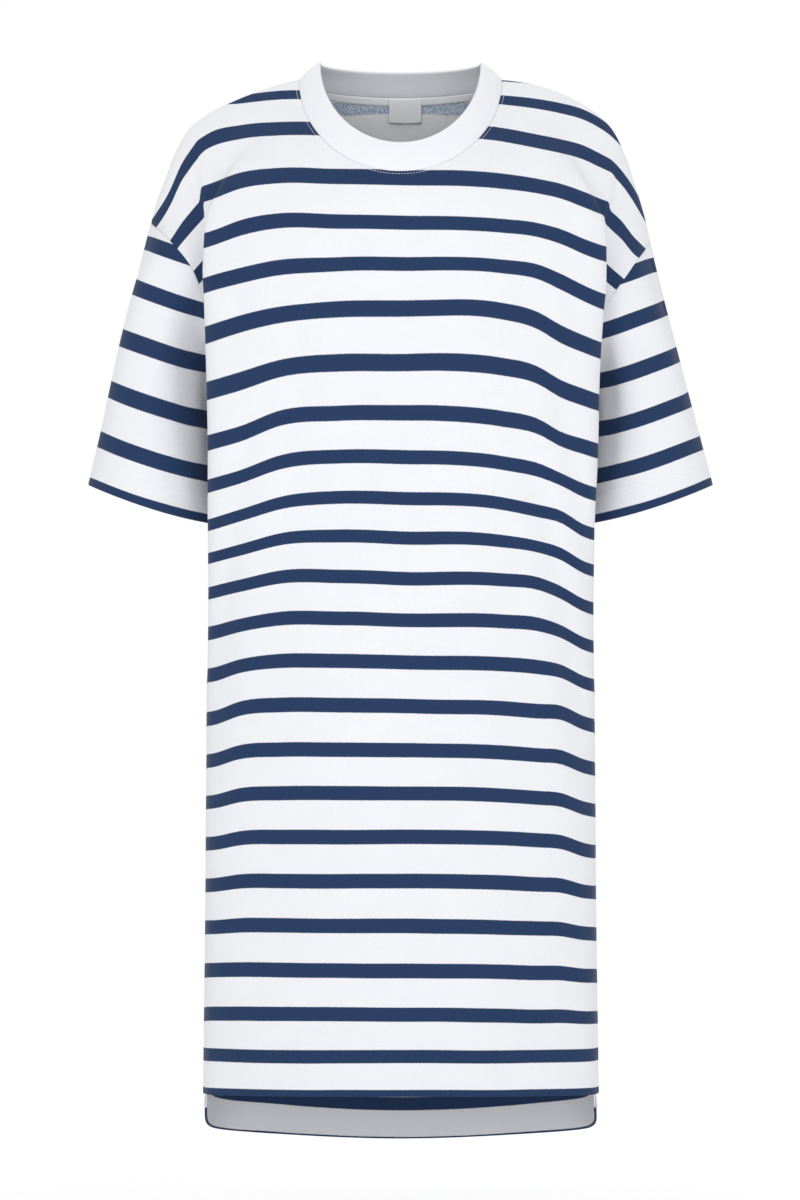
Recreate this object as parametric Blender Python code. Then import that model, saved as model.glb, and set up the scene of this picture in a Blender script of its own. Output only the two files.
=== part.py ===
# A short-sleeved knitted nightshirt, filled out as if worn, with nobody in it.
#
# Frame: metres, +Z up, the front faces -Y, the garment's left side is at +X. The origin is the middle of the neck
# at the height where the neckband tops the shoulders, which is where the wearer's shoulders carry the weight.
#
# Every piece of cloth is a wall: a grid of points on its outer face, and the same grid moved in along the normals.
# A panel's grid has u across (-1 and 1 at its side seams, 0 down the middle) and v down (0 at the neck seam). Its
# side edge is the shoulder seam from NECK to TIP, the armhole from TIP to UNDERARM, and the side seam below.

import math

import bpy
import numpy as np

MM = 0.001

# Cloth
PANEL_WALL = 2.0          # jersey, with its folds and seam allowances
BAND_WALL = 3.0           # doubled rib
LABEL_WALL = 1.0
SEAM_GAP = 0.3
LABEL_GAP = 0.5           # over the facets of the panel that the label lies on

# Stations down a panel, in grid rows
NECK, TIP, UNDERARM, SLIT, HEM = 0, 6, 16, 28, 30
HALF_COLUMNS = 19
STATIONS = [0, 1.5, 3, 4.5, 6, 7.5, 9, 11, 13, 15] + list(range(UNDERARM, HEM + 1))
NEAR_TIP = (4.5, 6, 7.5)  # rows that the smooth middle of a panel passes without a bend

# Heights
TIP_HEIGHT = -152.0
UNDERARM_HEIGHT = -300.0
SLIT_HEIGHT = -866.0
FRONT_HEM = {"side": -932.0, "middle": -927.0}
BACK_HEM = {"side": -950.0, "middle": -981.0}
SLIT_SPREAD = 2.5         # each panel's edge stands off the side line at the hem
TIP_LEAN = 8.0            # the left shoulder seam ends this much lower than the middle height, the right one higher
SHOULDER_LIFT = 4.5       # the left shoulder stands up this much more than the right, midway along its seam
ARMHOLE_SAG = 18.5        # the left armhole seam hangs this much lower than the right, about a quarter way down
SAG_SKEW = 0.68           # below 1, the lowest part of the sag lies nearer the tip

# Neck: half an ellipse in front and one behind, from the shoulder to the middle
NECK_SEAM = {"half_width": 92.0, "shoulder_z": -14.0,
             "front_y": -95.0, "front_z": -102.0, "back_y": 75.0, "back_z": -25.5}
NECK_EDGE = {"half_width": 73.0, "shoulder_z": 2.0,
             "front_y": -85.0, "front_z": -75.0, "back_y": 65.0, "back_z": -2.5}
BAND_ROWS = 3
BAND_CROWN = 1.2          # the rib rounds out this much midway

# Shoulder seam, from the neck to the tip
SHOULDER = [
    # x, z
    (92.0, -14.0),
    (122.0, -22.0),
    (151.0, -33.0),
    (174.0, -45.0),
    (191.0, -59.0),
    (203.0, -80.0),
    (213.0, -108.0),
    (221.0, -132.0),
    (226.0, -152.0),
]
SHOULDER_Y = 3.0

# Armhole seam, from the tip to the underarm, front and back
ARMHOLE = {
    "front": [
        # x, y, z
        (226.0, 3.0, -152.0),
        (208.0, -35.0, -168.0),
        (186.0, -51.0, -195.0),
        (173.0, -45.0, -236.0),
        (166.0, -20.0, -277.0),
        (161.5, 6.0, -300.0),
    ],
    "back": [
        (226.0, 3.0, -152.0),
        (211.0, 39.0, -172.0),
        (193.0, 57.0, -201.0),
        (178.0, 53.0, -240.0),
        (167.0, 31.0, -279.0),
        (161.5, 6.0, -300.0),
    ],
}

# Level sections of each panel. Depths are y, the rest is x: the middle, the breast or blade halfway out, the
# vertical fold that stands out beside the sleeve, and the hollow behind it, set in from the fold.
SECTION_KNOTS = {"middle": 0.0, "breast": 0.36, "fold": 0.66, "hollow": 0.77, "seam": 1.0}
BREAST_SHARE = 0.56       # of the fold's x
FRONT_SECTIONS = [
    # z, middle_y, breast_y, right_fold, left_fold, fold_y, inset, hollow_y
    (-102.0, -98.0, -92.0, 184.0, 193.0, -55.0, 7.0, -42.0),
    (-150.0, -113.0, -106.0, 179.0, 190.5, -69.0, 9.0, -53.0),
    (-200.0, -120.0, -113.0, 177.0, 184.0, -74.0, 12.0, -57.0),
    (-250.0, -124.0, -117.0, 175.0, 180.0, -75.0, 15.0, -52.0),
    (-300.0, -126.0, -118.0, 173.0, 177.5, -75.0, 19.0, -42.0),
    (-350.0, -126.0, -118.0, 172.0, 176.5, -74.0, 20.0, -35.0),
    (-410.0, -126.0, -117.0, 172.5, 174.0, -71.0, 17.0, -32.0),
    (-460.0, -126.0, -116.0, 172.5, 173.5, -66.0, 8.0, -30.0),
    (-520.0, -125.0, -114.0, 172.0, 172.5, -60.0, 0.0, -28.0),
    (-620.0, -124.0, -112.0, 171.5, 172.0, -57.0, -3.0, -27.0),
    (-760.0, -122.0, -110.0, 171.5, 172.0, -56.0, -4.0, -26.0),
    (-926.0, -120.0, -108.0, 172.5, 173.5, -56.0, -5.0, -26.0),
]
BACK_SECTIONS = [
    (-25.5, 77.0, 74.0, 180.0, 180.0, 50.0, 3.0, 40.0),
    (-102.0, 100.0, 94.0, 184.0, 184.0, 62.0, 4.0, 50.0),
    (-150.0, 111.0, 105.0, 183.0, 184.0, 68.0, 4.0, 54.0),
    (-200.0, 117.0, 111.0, 181.0, 181.0, 74.0, 6.0, 60.0),
    (-250.0, 118.0, 112.0, 178.0, 178.0, 77.0, 9.0, 58.0),
    (-300.0, 116.0, 111.0, 175.0, 176.0, 78.0, 13.0, 52.0),
    (-350.0, 112.0, 108.0, 173.0, 174.0, 77.0, 15.0, 46.0),
    (-410.0, 108.0, 104.0, 171.0, 172.0, 74.0, 12.0, 42.0),
    (-460.0, 106.0, 102.0, 170.0, 171.0, 69.0, 6.0, 39.0),
    (-520.0, 105.0, 100.0, 169.0, 170.0, 65.0, 0.0, 37.0),
    (-620.0, 107.0, 101.0, 168.0, 169.0, 63.0, -3.0, 36.0),
    (-760.0, 114.0, 106.0, 168.0, 169.0, 64.0, -4.0, 36.0),
    (-981.0, 126.0, 115.0, 171.0, 172.0, 67.0, -5.0, 38.0),
]

# Side seam, below the underarm: it turns in under the arm, then falls straight
SIDE_SEAM = [
    # z, x, y
    (-300.0, 161.5, 6.0),
    (-308.0, 155.5, 6.0),
    (-322.0, 152.5, 6.0),
    (-360.0, 152.0, 6.0),
    (-410.0, 153.0, 6.0),
    (-450.0, 160.0, 6.0),
    (-490.0, 168.5, 6.0),
    (-540.0, 174.0, 6.0),
    (-660.0, 175.0, 6.0),
    (-866.0, 176.5, 6.0),
    (-981.0, 178.0, 6.0),
]
SIDE_ROW_CROWDING = 1.5   # rows crowd towards the underarm by this power

# Long soft folds. Each runs down a panel from its top to its bottom, dips in on its outer side by its depth, and
# stands out a little on its inner side.
FOLDS = [
    # panel, top_x, top_z, bottom_x, bottom_z, bow, depth, width
    ("front", 126.0, -275.0, 171.0, -560.0, 4.0, 6.0, 11.0),
    ("front", 106.0, -350.0, 166.0, -790.0, 11.0, 6.5, 12.0),
    ("front", -124.0, -320.0, -163.0, -745.0, -6.0, 6.0, 12.0),
    ("back", 112.0, -250.0, 150.0, -640.0, 7.0, 6.0, 13.0),
    ("back", -106.0, -300.0, -158.0, -720.0, -9.0, 7.0, 13.0),
    ("back", 38.0, -380.0, 62.0, -900.0, 6.0, 4.0, 16.0),
]
FOLD_RIDGE = 0.45         # the ridge's height, as a share of the depth

# Sleeve: a tube from the armhole to a level-cut elliptical cuff that tilts up on its outer side
CUFF = {"outer": (283.0, 6.0, -381.0), "inner": (165.0, 6.0, -417.0), "depth": 57.0, "droop": 4.0}
SLEEVE_ROWS = 11
SLEEVE_PULL = 0.55        # how far the tube keeps the panel's direction past the seam, as a share of its length

# Label, inside the middle of the back neck
LABEL = {"width": 31.0, "height": 23.0, "columns": 4, "rows": 3, "drop": 0.6}

WHITE = (0.87, 0.875, 0.90, 1.0)
RIB_WHITE = (0.90, 0.90, 0.925, 1.0)
LABEL_WHITE = (0.93, 0.93, 0.93, 1.0)


def spline(knots, values, at, start=None, end=None):
    # A smooth curve through the values: cubic pieces whose slopes at a knot are the weighted mean of the chords
    # on its two sides. start and end give the slope at an end, which is otherwise its chord.
    knots = np.asarray(knots, float)
    values = np.asarray(values, float)
    step = np.diff(knots).reshape((-1,) + (1,) * (values.ndim - 1))
    chord = np.diff(values, axis=0) / step
    inner = (chord[:-1] * step[1:] + chord[1:] * step[:-1]) / (step[1:] + step[:-1])
    first = chord[0] if start is None else np.asarray(start, float)
    last = chord[-1] if end is None else np.asarray(end, float)
    slope = np.concatenate([first[None], inner, last[None]])
    at = np.asarray(at, float)
    piece = np.clip(np.searchsorted(knots, at, side="right") - 1, 0, len(knots) - 2)
    width = knots[piece + 1] - knots[piece]
    f = (at - knots[piece]) / width
    shape = f.shape + (1,) * (values.ndim - 1)
    f = f.reshape(shape)
    width = width.reshape(shape)
    return ((2 * f**3 - 3 * f**2 + 1) * values[piece] + (f**3 - 2 * f**2 + f) * width * slope[piece]
            + (3 * f**2 - 2 * f**3) * values[piece + 1] + (f**3 - f**2) * width * slope[piece + 1])


def along(points, fraction):
    # The point at a fraction of the length of a smooth curve through the points.
    points = np.asarray(points, float)
    reach = np.concatenate([[0.0], np.cumsum(np.linalg.norm(np.diff(points, axis=0), axis=1))])
    return spline(reach, points, np.asarray(fraction) * reach[-1])


def neck_ring(ring, panel, u):
    # Half an ellipse from one shoulder (u = -1) through the middle (u = 0) to the other (u = 1).
    turn = np.asarray(u, float) * math.pi / 2
    deep = np.cos(turn)
    depth = ring[panel + "_y"] - SHOULDER_Y
    return np.stack([ring["half_width"] * np.sin(turn), SHOULDER_Y + depth * deep,
                     ring["shoulder_z"] + (ring[panel + "_z"] - ring["shoulder_z"]) * deep], axis=-1)


def lean(point, side):
    # The tips hang lower on the left side and higher on the right, fading to the neck and underarm. The left
    # shoulder stands up a little between neck and tip, and the left armhole sags between tip and underarm.
    x, y, z = point
    out = np.clip((abs(x) - NECK_SEAM["half_width"]) / (SHOULDER[-1][0] - NECK_SEAM["half_width"]), 0, 1)
    below = np.clip((TIP_HEIGHT - z) / (TIP_HEIGHT - UNDERARM_HEIGHT), 0, 1)
    if z > TIP_HEIGHT:
        shift = -side * TIP_LEAN * out**6
    else:
        shift = -side * TIP_LEAN * (1 - below)
    if side > 0 and z > TIP_HEIGHT:
        shift += SHOULDER_LIFT * math.sin(math.pi * out**0.8)
    elif side > 0:
        shift -= ARMHOLE_SAG * math.sin(math.pi * below**SAG_SKEW)
    return np.array([side * x, y, z + shift])


def seam_point(panel, side, v):
    # Where a row ends: on the shoulder seam, the armhole or the side seam.
    if v <= TIP:
        x, z = along(SHOULDER, (v - NECK) / (TIP - NECK))
        return lean((x, SHOULDER_Y, z), side)
    if v <= UNDERARM:
        return lean(along(ARMHOLE[panel], (v - TIP) / (UNDERARM - TIP)), side)
    hem = FRONT_HEM if panel == "front" else BACK_HEM
    if v <= SLIT:
        z = UNDERARM_HEIGHT + (SLIT_HEIGHT - UNDERARM_HEIGHT) * ((v - UNDERARM) / (SLIT - UNDERARM)) ** SIDE_ROW_CROWDING
        open_by = 0.0
    else:
        z = SLIT_HEIGHT + (hem["side"] - SLIT_HEIGHT) * (v - SLIT) / (HEM - SLIT)
        open_by = (v - SLIT) / (HEM - SLIT)
    table = np.array(SIDE_SEAM)[::-1]
    x, y = spline(table[:, 0], table[:, 1:], z)
    spread = SLIT_SPREAD * open_by * (-1 if panel == "front" else 1)
    return np.array([side * x, y + spread, z])


def middle_height(panel, v):
    # The height of a row's middle, with the same rows as at its ends.
    ring_z = NECK_SEAM[panel + "_z"]
    hem = FRONT_HEM if panel == "front" else BACK_HEM
    if v <= TIP:
        return ring_z + (TIP_HEIGHT - ring_z) * (v - NECK) / (TIP - NECK)
    if v <= UNDERARM:
        return TIP_HEIGHT + (UNDERARM_HEIGHT - TIP_HEIGHT) * (v - TIP) / (UNDERARM - TIP)
    if v <= SLIT:
        return seam_point(panel, 1, v)[2]
    return SLIT_HEIGHT + (hem["middle"] - SLIT_HEIGHT) * (v - SLIT) / (HEM - SLIT)


def section_row(panel, v, u):
    # One row across a panel at or below the tip: a smooth curve through the named points of its section.
    table = np.array(FRONT_SECTIONS if panel == "front" else BACK_SECTIONS)[::-1]
    z = middle_height(panel, v)
    middle_y, breast_y, right_fold, left_fold, fold_y, inset, hollow_y = spline(table[:, 0], table[:, 1:], z)
    knots, points = [0.0], [(0.0, middle_y, z)]
    ends = {}
    for side, fold in ((-1, right_fold), (1, left_fold)):
        seam = seam_point(panel, side, v)
        outer = [(BREAST_SHARE * fold, breast_y, "breast"), (fold, fold_y, "fold"), (fold - inset, hollow_y, "hollow")]
        half = [(side * x, y, z + (seam[2] - z) * SECTION_KNOTS[name] ** 2) for x, y, name in outer] + [tuple(seam)]
        half_knots = [side * SECTION_KNOTS[name] for name in ("breast", "fold", "hollow", "seam")]
        if side < 0:
            points, knots = half[::-1] + points, half_knots[::-1] + knots
        else:
            points, knots = points + half, knots + half_knots
        ends[side] = end_slope(panel, side, v, seam, half[-2])
    return spline(knots, points, u, start=ends[-1], end=ends[1])


def end_slope(panel, side, v, seam, hollow):
    # A row meets the tip and the lower side seam square to the side, so that front and back join smoothly, and
    # comes to the armhole straight from the hollow, turning out under the arm.
    gap = SECTION_KNOTS["seam"] - SECTION_KNOTS["hollow"]
    chord = (np.asarray(seam) - np.asarray(hollow)) / gap * side
    reach = np.linalg.norm(chord)
    rear = 1 if panel == "front" else -1
    square = np.array([0.0, rear * side, 0.0]) * reach
    outward = np.array([0.75, rear * side * 0.65, 0.1]) * reach
    if v <= TIP:
        return square
    if v < UNDERARM:
        low = (v - TIP) / (UNDERARM - TIP)
        fade = max(0.0, 1 - 4 * low)
        return fade * square + (1 - fade) * ((1 - low**2) * chord + low**2 * outward)
    fade = max(0.0, 1 - (v - UNDERARM) / 3)
    return fade * outward + (1 - fade) * square


def yoke_row(panel, w, u):
    # A row between the neck seam (w = 0) and the tip row (w = 1): the mean of the two, pulled to the shoulder
    # seams at its ends and to the middle line, as on a patch stretched between its four edges.
    top = neck_ring(NECK_SEAM, panel, u)
    low = section_row(panel, TIP, u)
    blend = (1 - w) * top + w * low
    out = np.abs(u)[:, None]
    v = NECK + w * (TIP - NECK)
    middle = len(u) // 2
    for side, column in ((-1, 0), (1, -1)):
        pull = seam_point(panel, side, v) - ((1 - w) * top[column] + w * low[column])
        blend = blend + np.where(np.sign(u)[:, None] == side, out**2, 0.0) * pull
    table = np.array(FRONT_SECTIONS if panel == "front" else BACK_SECTIONS)[::-1]
    z = middle_height(panel, v)
    middle_y = spline(table[:, 0], table[:, 1], z)
    pull = (middle_y - blend[middle, 1]) * (1 - out[:, 0]) ** 2
    blend[:, 1] += pull
    return blend


def fold_push(panel, points):
    # How far the long folds move each point along Y, in towards the body where positive for the front.
    x, z = points[..., 0], points[..., 2]
    push = np.zeros(x.shape)
    for name, top_x, top_z, bottom_x, bottom_z, bow, depth, width in FOLDS:
        if name != panel:
            continue
        f = (top_z - z) / (top_z - bottom_z)
        path = top_x + (bottom_x - top_x) * f + bow * np.sin(math.pi * np.clip(f, 0, 1))
        off = (x - path) * np.sign(top_x)
        strength = np.clip(f, 0, 1) * np.clip(1 - f, 0, 1) * 4
        strength = np.sqrt(strength) * np.clip(1.15 - f, 0, 1)
        dip = np.exp(-(((off - width) / width) ** 2))
        ridge = FOLD_RIDGE * np.exp(-(((off + width) / (1.3 * width)) ** 2))
        push += depth * strength * (dip - ridge)
    return push if panel == "front" else -push


def panel_surface(panel, u, v):
    # The outer face of a panel on a grid of rows v and columns u, in millimetres.
    u = np.asarray(u, float)
    v = np.asarray(v, float)
    fine = np.concatenate([u, [0.0]])
    order = np.argsort(fine)
    rows = {}
    for station in STATIONS:
        if station < TIP:
            row = yoke_row(panel, (station - NECK) / (TIP - NECK), fine[order])
        else:
            row = section_row(panel, station, fine[order])
        placed = np.empty_like(row)
        placed[order] = row
        rows[station] = placed[:-1]
    tight = spline(STATIONS, [rows[station] for station in STATIONS], v)
    free = [station for station in STATIONS if station not in NEAR_TIP]
    loose = spline(free, [rows[station] for station in free], v)
    out = (np.abs(u) ** 3)[None, :, None]
    grid = loose + (tight - loose) * out
    for side in (-1, 1):
        edge = np.array([seam_point(panel, side, value) for value in v])
        ends = spline(STATIONS, [seam_point(panel, side, station) for station in STATIONS], v)
        weight = np.where(np.sign(u) == side, np.abs(u) ** 12, 0.0)
        grid += weight[None, :, None] * (edge - ends)[:, None, :]
    fade = 1 - np.abs(u) ** 6
    grid[..., 1] += fold_push(panel, grid) * fade[None, :]
    return grid


def column_places():
    # Columns from seam to seam, closer together round the fold beside the sleeve.
    fine = np.linspace(0, 1, 400)
    crowd = 1 + 0.8 * np.exp(-(((fine - 0.71) / 0.13) ** 2))
    reach = np.concatenate([[0.0], np.cumsum((crowd[1:] + crowd[:-1]) / 2)])
    half = np.interp(np.linspace(0, reach[-1], HALF_COLUMNS + 1), reach, fine)
    return np.concatenate([-half[:0:-1], half])


def grid_normals(grid, closed):
    # Unit normals from the differences along rows and columns. closed joins the last column to the first.
    if closed:
        across = np.roll(grid, -1, axis=1) - np.roll(grid, 1, axis=1)
    else:
        across = np.gradient(grid, axis=1)
    down = np.gradient(grid, axis=0)
    normal = np.cross(down, across)
    return normal / np.linalg.norm(normal, axis=-1, keepdims=True)


def sleeve_surface(side, front, back, normals):
    # A tube: each line leaves the armhole in the plane of the panel and comes to the cuff along the sleeve.
    column = -1 if side > 0 else 0
    rows = slice(TIP, UNDERARM + 1)
    ring = np.concatenate([front[rows, column], back[rows, column][-2:0:-1]])
    normal = np.concatenate([normals["front"][rows, column], normals["back"][rows, column][-2:0:-1]])
    normal[0] = normals["front"][TIP, column] + normals["back"][TIP, column]
    under = UNDERARM - TIP
    normal[under] = normals["front"][UNDERARM, column] + normals["back"][UNDERARM, column]
    normal /= np.linalg.norm(normal, axis=1, keepdims=True)
    count = len(ring)
    tangent = np.roll(ring, -1, axis=0) - np.roll(ring, 1, axis=0)
    tangent /= np.linalg.norm(tangent, axis=1, keepdims=True)
    leave = np.cross(tangent, normal)
    leave /= np.linalg.norm(leave, axis=1, keepdims=True)
    beside = -2 if side > 0 else 1
    inward = np.concatenate([front[rows, beside], back[rows, beside][-2:0:-1]]) - ring
    leave *= -np.sign(np.sum(leave * inward, axis=1, keepdims=True))

    outer = np.array(CUFF["outer"]) * (side, 1, 1)
    inner = np.array(CUFF["inner"]) * (side, 1, 1)
    middle = (outer + inner) / 2
    turn = 2 * math.pi * np.arange(count) / count
    cuff = (middle + np.cos(turn)[:, None] * (outer - middle)
            + np.sin(turn)[:, None] * np.array([0.0, -CUFF["depth"], 0.0]))
    cuff[:, 2] -= CUFF["droop"] * np.sin(turn) ** 2
    fall = outer - ring[0]
    fall /= np.linalg.norm(fall)
    length = np.linalg.norm(cuff - ring, axis=1, keepdims=True)
    w = np.linspace(0, 1, SLEEVE_ROWS + 1)[:, None, None]
    return ((2 * w**3 - 3 * w**2 + 1) * ring + (w**3 - 2 * w**2 + w) * SLEEVE_PULL * length * leave
            + (3 * w**2 - 2 * w**3) * cuff + (w**3 - w**2) * SLEEVE_PULL * length * fall)


def band_surface(front, back):
    # The neckband: a ring that shares its outer edge with both panels and narrows in to its top edge.
    u = column_places()
    outer = np.concatenate([front[0], back[0][-2:0:-1]])
    inner = np.concatenate([neck_ring(NECK_EDGE, "front", u), neck_ring(NECK_EDGE, "back", u)[-2:0:-1]])
    w = np.linspace(0, 1, BAND_ROWS + 1)[:, None, None]
    grid = (1 - w) * inner + w * outer
    crown = grid_normals(grid, True) * BAND_CROWN * np.sin(math.pi * w)
    return grid + crown


def share_normals(pieces):
    # Points that two or more pieces have in common get one mean normal, so that their edges face each other.
    total = {}
    for piece in pieces.values():
        for point, normal in zip(piece["grid"].reshape(-1, 3), piece["normal"].reshape(-1, 3)):
            key = tuple(np.round(point, 2))
            total[key] = total.get(key, np.zeros(3)) + normal
    for piece in pieces.values():
        flat = piece["grid"].reshape(-1, 3)
        mean = np.array([total[tuple(np.round(point, 2))] for point in flat])
        mean /= np.linalg.norm(mean, axis=1, keepdims=True)
        piece["normal"] = mean.reshape(piece["grid"].shape)


def ease_edge(grid, normal, moved, axis, end, closed):
    # Move one edge of a grid back along the cloth by half the seam gap.
    edge = [slice(None)] * 2
    beside = [slice(None)] * 2
    edge[axis] = end
    beside[axis] = 1 if end == 0 else end - 1
    edge, beside = tuple(edge), tuple(beside)
    line = grid[edge]
    if closed:
        tangent = np.roll(line, -1, axis=0) - np.roll(line, 1, axis=0)
    else:
        tangent = np.gradient(line, axis=0)
    back = np.cross(normal[edge], tangent)
    back /= np.linalg.norm(back, axis=1, keepdims=True)
    towards = np.sum(back * (grid[beside] - line), axis=1, keepdims=True)
    moved[edge] += back * np.sign(towards) * SEAM_GAP / 2


def rim_faces(line, points, shift):
    # The rim between the outer and the inner face. Each length is split from the outer point of its higher end
    # to the inner point of its lower end, on both sides of a seam alike, so that twisted rims stay parallel.
    faces = []
    for a, b in zip(line[:-1], line[1:]):
        if tuple(np.round(points[a][::-1], 2)) > tuple(np.round(points[b][::-1], 2)):
            faces += [(a, b, b + shift), (a, b + shift, a + shift)]
        else:
            faces += [(a, b, a + shift), (b, b + shift, a + shift)]
    return faces


def wall_mesh(name, outer, normal, wall, closed, places):
    # A closed wall from a grid of outer points: the inner face, and a rim round each open edge. places are the
    # grid's points before the seams were eased.
    rows, columns = outer.shape[:2]
    points = np.concatenate([outer.reshape(-1, 3), (outer - normal * wall).reshape(-1, 3)]) * MM
    number = np.arange(rows * columns).reshape(rows, columns)
    if closed:
        number = np.concatenate([number, number[:, :1]], axis=1)
    a, b = number[:-1, :-1].ravel(), number[:-1, 1:].ravel()
    c, d = number[1:, 1:].ravel(), number[1:, :-1].ravel()
    skin = np.stack([a, d, c, b], axis=1)
    shift = rows * columns
    faces = skin.tolist() + (skin[:, ::-1] + shift).tolist()
    edges = [number[0], number[-1][::-1]]
    if not closed:
        edges += [number[::-1, 0], number[:, -1]]
    for line in edges:
        faces += rim_faces(line.tolist(), places.reshape(-1, 3), shift)
    mesh = bpy.data.meshes.new(name)
    mesh.from_pydata(points.tolist(), [], faces)
    mesh.validate()
    mesh.shade_smooth()
    return mesh


def cloth_material(name, colour, roughness):
    material = bpy.data.materials.new(name)
    material.use_nodes = True
    shader = material.node_tree.nodes["Principled BSDF"]
    shader.inputs["Base Color"].default_value = colour
    shader.inputs["Roughness"].default_value = roughness
    shader.inputs["Metallic"].default_value = 0.0
    return material


def add_piece(collection, name, mesh, material):
    piece = bpy.data.objects.new(name, mesh)
    mesh.materials.append(material)
    collection.objects.link(piece)
    return piece


def label_grid():
    # The label hangs from the neck seam inside the back: the back's own surface, moved in past its wall.
    half = LABEL["width"] / 2
    column = half / NECK_SEAM["half_width"] * 2 / math.pi
    u = np.linspace(-column, column, LABEL["columns"] + 1)
    fine_v = np.linspace(0, 3, 31)
    line = panel_surface("back", np.array([0.0]), fine_v)[:, 0]
    reach = np.concatenate([[0.0], np.cumsum(np.linalg.norm(np.diff(line, axis=0), axis=1))])
    v = np.interp(LABEL["drop"] + np.linspace(0, LABEL["height"], LABEL["rows"] + 1), reach, fine_v)
    grid = panel_surface("back", -u, v)
    across = np.linspace(-half, half, LABEL["columns"] + 1)
    grid[..., 0] = -across[None, :]
    normal = grid_normals(grid, False)
    return grid - normal * (PANEL_WALL + LABEL_GAP), normal


def build():
    for thing in list(bpy.data.objects):
        bpy.data.objects.remove(thing, do_unlink=True)
    collection = bpy.data.collections.new("nightshirt")
    bpy.context.scene.collection.children.link(collection)

    u = column_places()
    v = np.arange(NECK, HEM + 1)
    front = panel_surface("front", u, v)
    back = panel_surface("back", u, v)
    normals = {"front": grid_normals(front, False), "back": -grid_normals(back, False)}
    left = sleeve_surface(1, front, back, normals)
    right = sleeve_surface(-1, front, back, normals)
    band = band_surface(front, back)

    pieces = {
        "front": {"grid": front, "closed": False, "wall": PANEL_WALL, "edges": [(0, 0), (1, 0), (1, -1)]},
        "back": {"grid": back[:, ::-1], "closed": False, "wall": PANEL_WALL, "edges": [(0, 0), (1, 0), (1, -1)]},
        "sleeve_left": {"grid": left[:, ::-1], "closed": True, "wall": PANEL_WALL, "edges": [(0, 0)]},
        "sleeve_right": {"grid": right, "closed": True, "wall": PANEL_WALL, "edges": [(0, 0)]},
        "neckband": {"grid": band, "closed": True, "wall": BAND_WALL, "edges": [(0, -1)]},
    }
    for piece in pieces.values():
        piece["normal"] = grid_normals(piece["grid"], piece["closed"])
    share_normals(pieces)

    jersey = {name: cloth_material(name + "_jersey", WHITE, 0.9) for name in pieces if name != "neckband"}
    jersey["neckband"] = cloth_material("neckband_rib", RIB_WHITE, 0.92)
    for name, piece in pieces.items():
        moved = piece["grid"].copy()
        for axis, end in piece["edges"]:
            ease_edge(piece["grid"], piece["normal"], moved, axis, end, piece["closed"] and axis == 0)
        mesh = wall_mesh(name, moved, piece["normal"], piece["wall"], piece["closed"], piece["grid"])
        add_piece(collection, name, mesh, jersey[name])

    grid, normal = label_grid()
    mesh = wall_mesh("label", grid, normal, LABEL_WALL, False, grid)
    add_piece(collection, "label", mesh, cloth_material("label_ribbon", LABEL_WHITE, 0.7))


build()
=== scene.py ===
# Looks of the striped nightshirt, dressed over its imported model.
# Frame: metres, +Z up, the front faces -Y, the garment's left side is at +X.
# The origin is the middle of the neck.
# Sizes are in millimetres where nothing else is said, and become metres when a mesh is made.
import math
import bpy
import numpy as np
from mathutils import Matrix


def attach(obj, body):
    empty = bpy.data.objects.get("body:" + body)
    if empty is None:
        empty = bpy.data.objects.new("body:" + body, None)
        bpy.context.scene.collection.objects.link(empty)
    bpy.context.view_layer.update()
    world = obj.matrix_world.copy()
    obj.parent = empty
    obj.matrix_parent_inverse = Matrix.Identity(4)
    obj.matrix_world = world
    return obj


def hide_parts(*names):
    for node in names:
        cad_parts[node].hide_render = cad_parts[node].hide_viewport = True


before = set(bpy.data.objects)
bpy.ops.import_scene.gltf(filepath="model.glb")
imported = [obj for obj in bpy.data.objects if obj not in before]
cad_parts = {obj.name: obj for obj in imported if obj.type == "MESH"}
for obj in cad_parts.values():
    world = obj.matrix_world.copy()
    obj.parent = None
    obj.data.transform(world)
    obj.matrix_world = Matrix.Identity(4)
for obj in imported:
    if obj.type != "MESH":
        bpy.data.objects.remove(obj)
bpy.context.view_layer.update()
mm = 0.001

# Cut of the panels: the same heights, seams and sections as the solids have
cut = {
    "neck": 0, "tip": 6, "underarm": 16, "slit": 28, "hem": 30,    # stations down a panel
    "stations": [0, 1.5, 3, 4.5, 6, 7.5, 9, 11, 13, 15] + list(range(16, 31)),
    "nearTip": (4.5, 6, 7.5),
    "tipHeight": -152.0, "underarmHeight": -300.0, "slitHeight": -866.0,
    "frontHem": (-932.0, -927.0), "backHem": (-950.0, -981.0),    # side, middle
    "slitSpread": 2.5, "tipLean": 8.0, "shoulderLift": 4.5, "shoulderY": 3.0,
    "leanPower": 6, "liftSkew": 0.8,
    "armholeSag": 18.5, "sagSkew": 0.68,    # the left armhole hangs lower, most near the tip
    "crowding": 1.5,    # side rows crowd towards the underarm
    "underarmLeave": (0.75, 0.65, 0.1),    # outward, to the rear and up, of a row's end there
    "tipFade": 4, "underarmFade": 3,    # row ends turn within a quarter of the armhole, and 3 stations below
}
neckSeam = {"halfWidth": 92.0, "shoulderZ": -14.0,
            "frontY": -95.0, "frontZ": -102.0, "backY": 75.0, "backZ": -25.5}
neckEdge = {"halfWidth": 73.0, "shoulderZ": 2.0,
            "frontY": -85.0, "frontZ": -75.0, "backY": 65.0, "backZ": -2.5}
shoulderSeam = [
    # x, z
    (92.0, -14.0), (122.0, -22.0), (151.0, -33.0), (174.0, -45.0), (191.0, -59.0),
    (203.0, -80.0), (213.0, -108.0), (221.0, -132.0), (226.0, -152.0),
]
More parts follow.
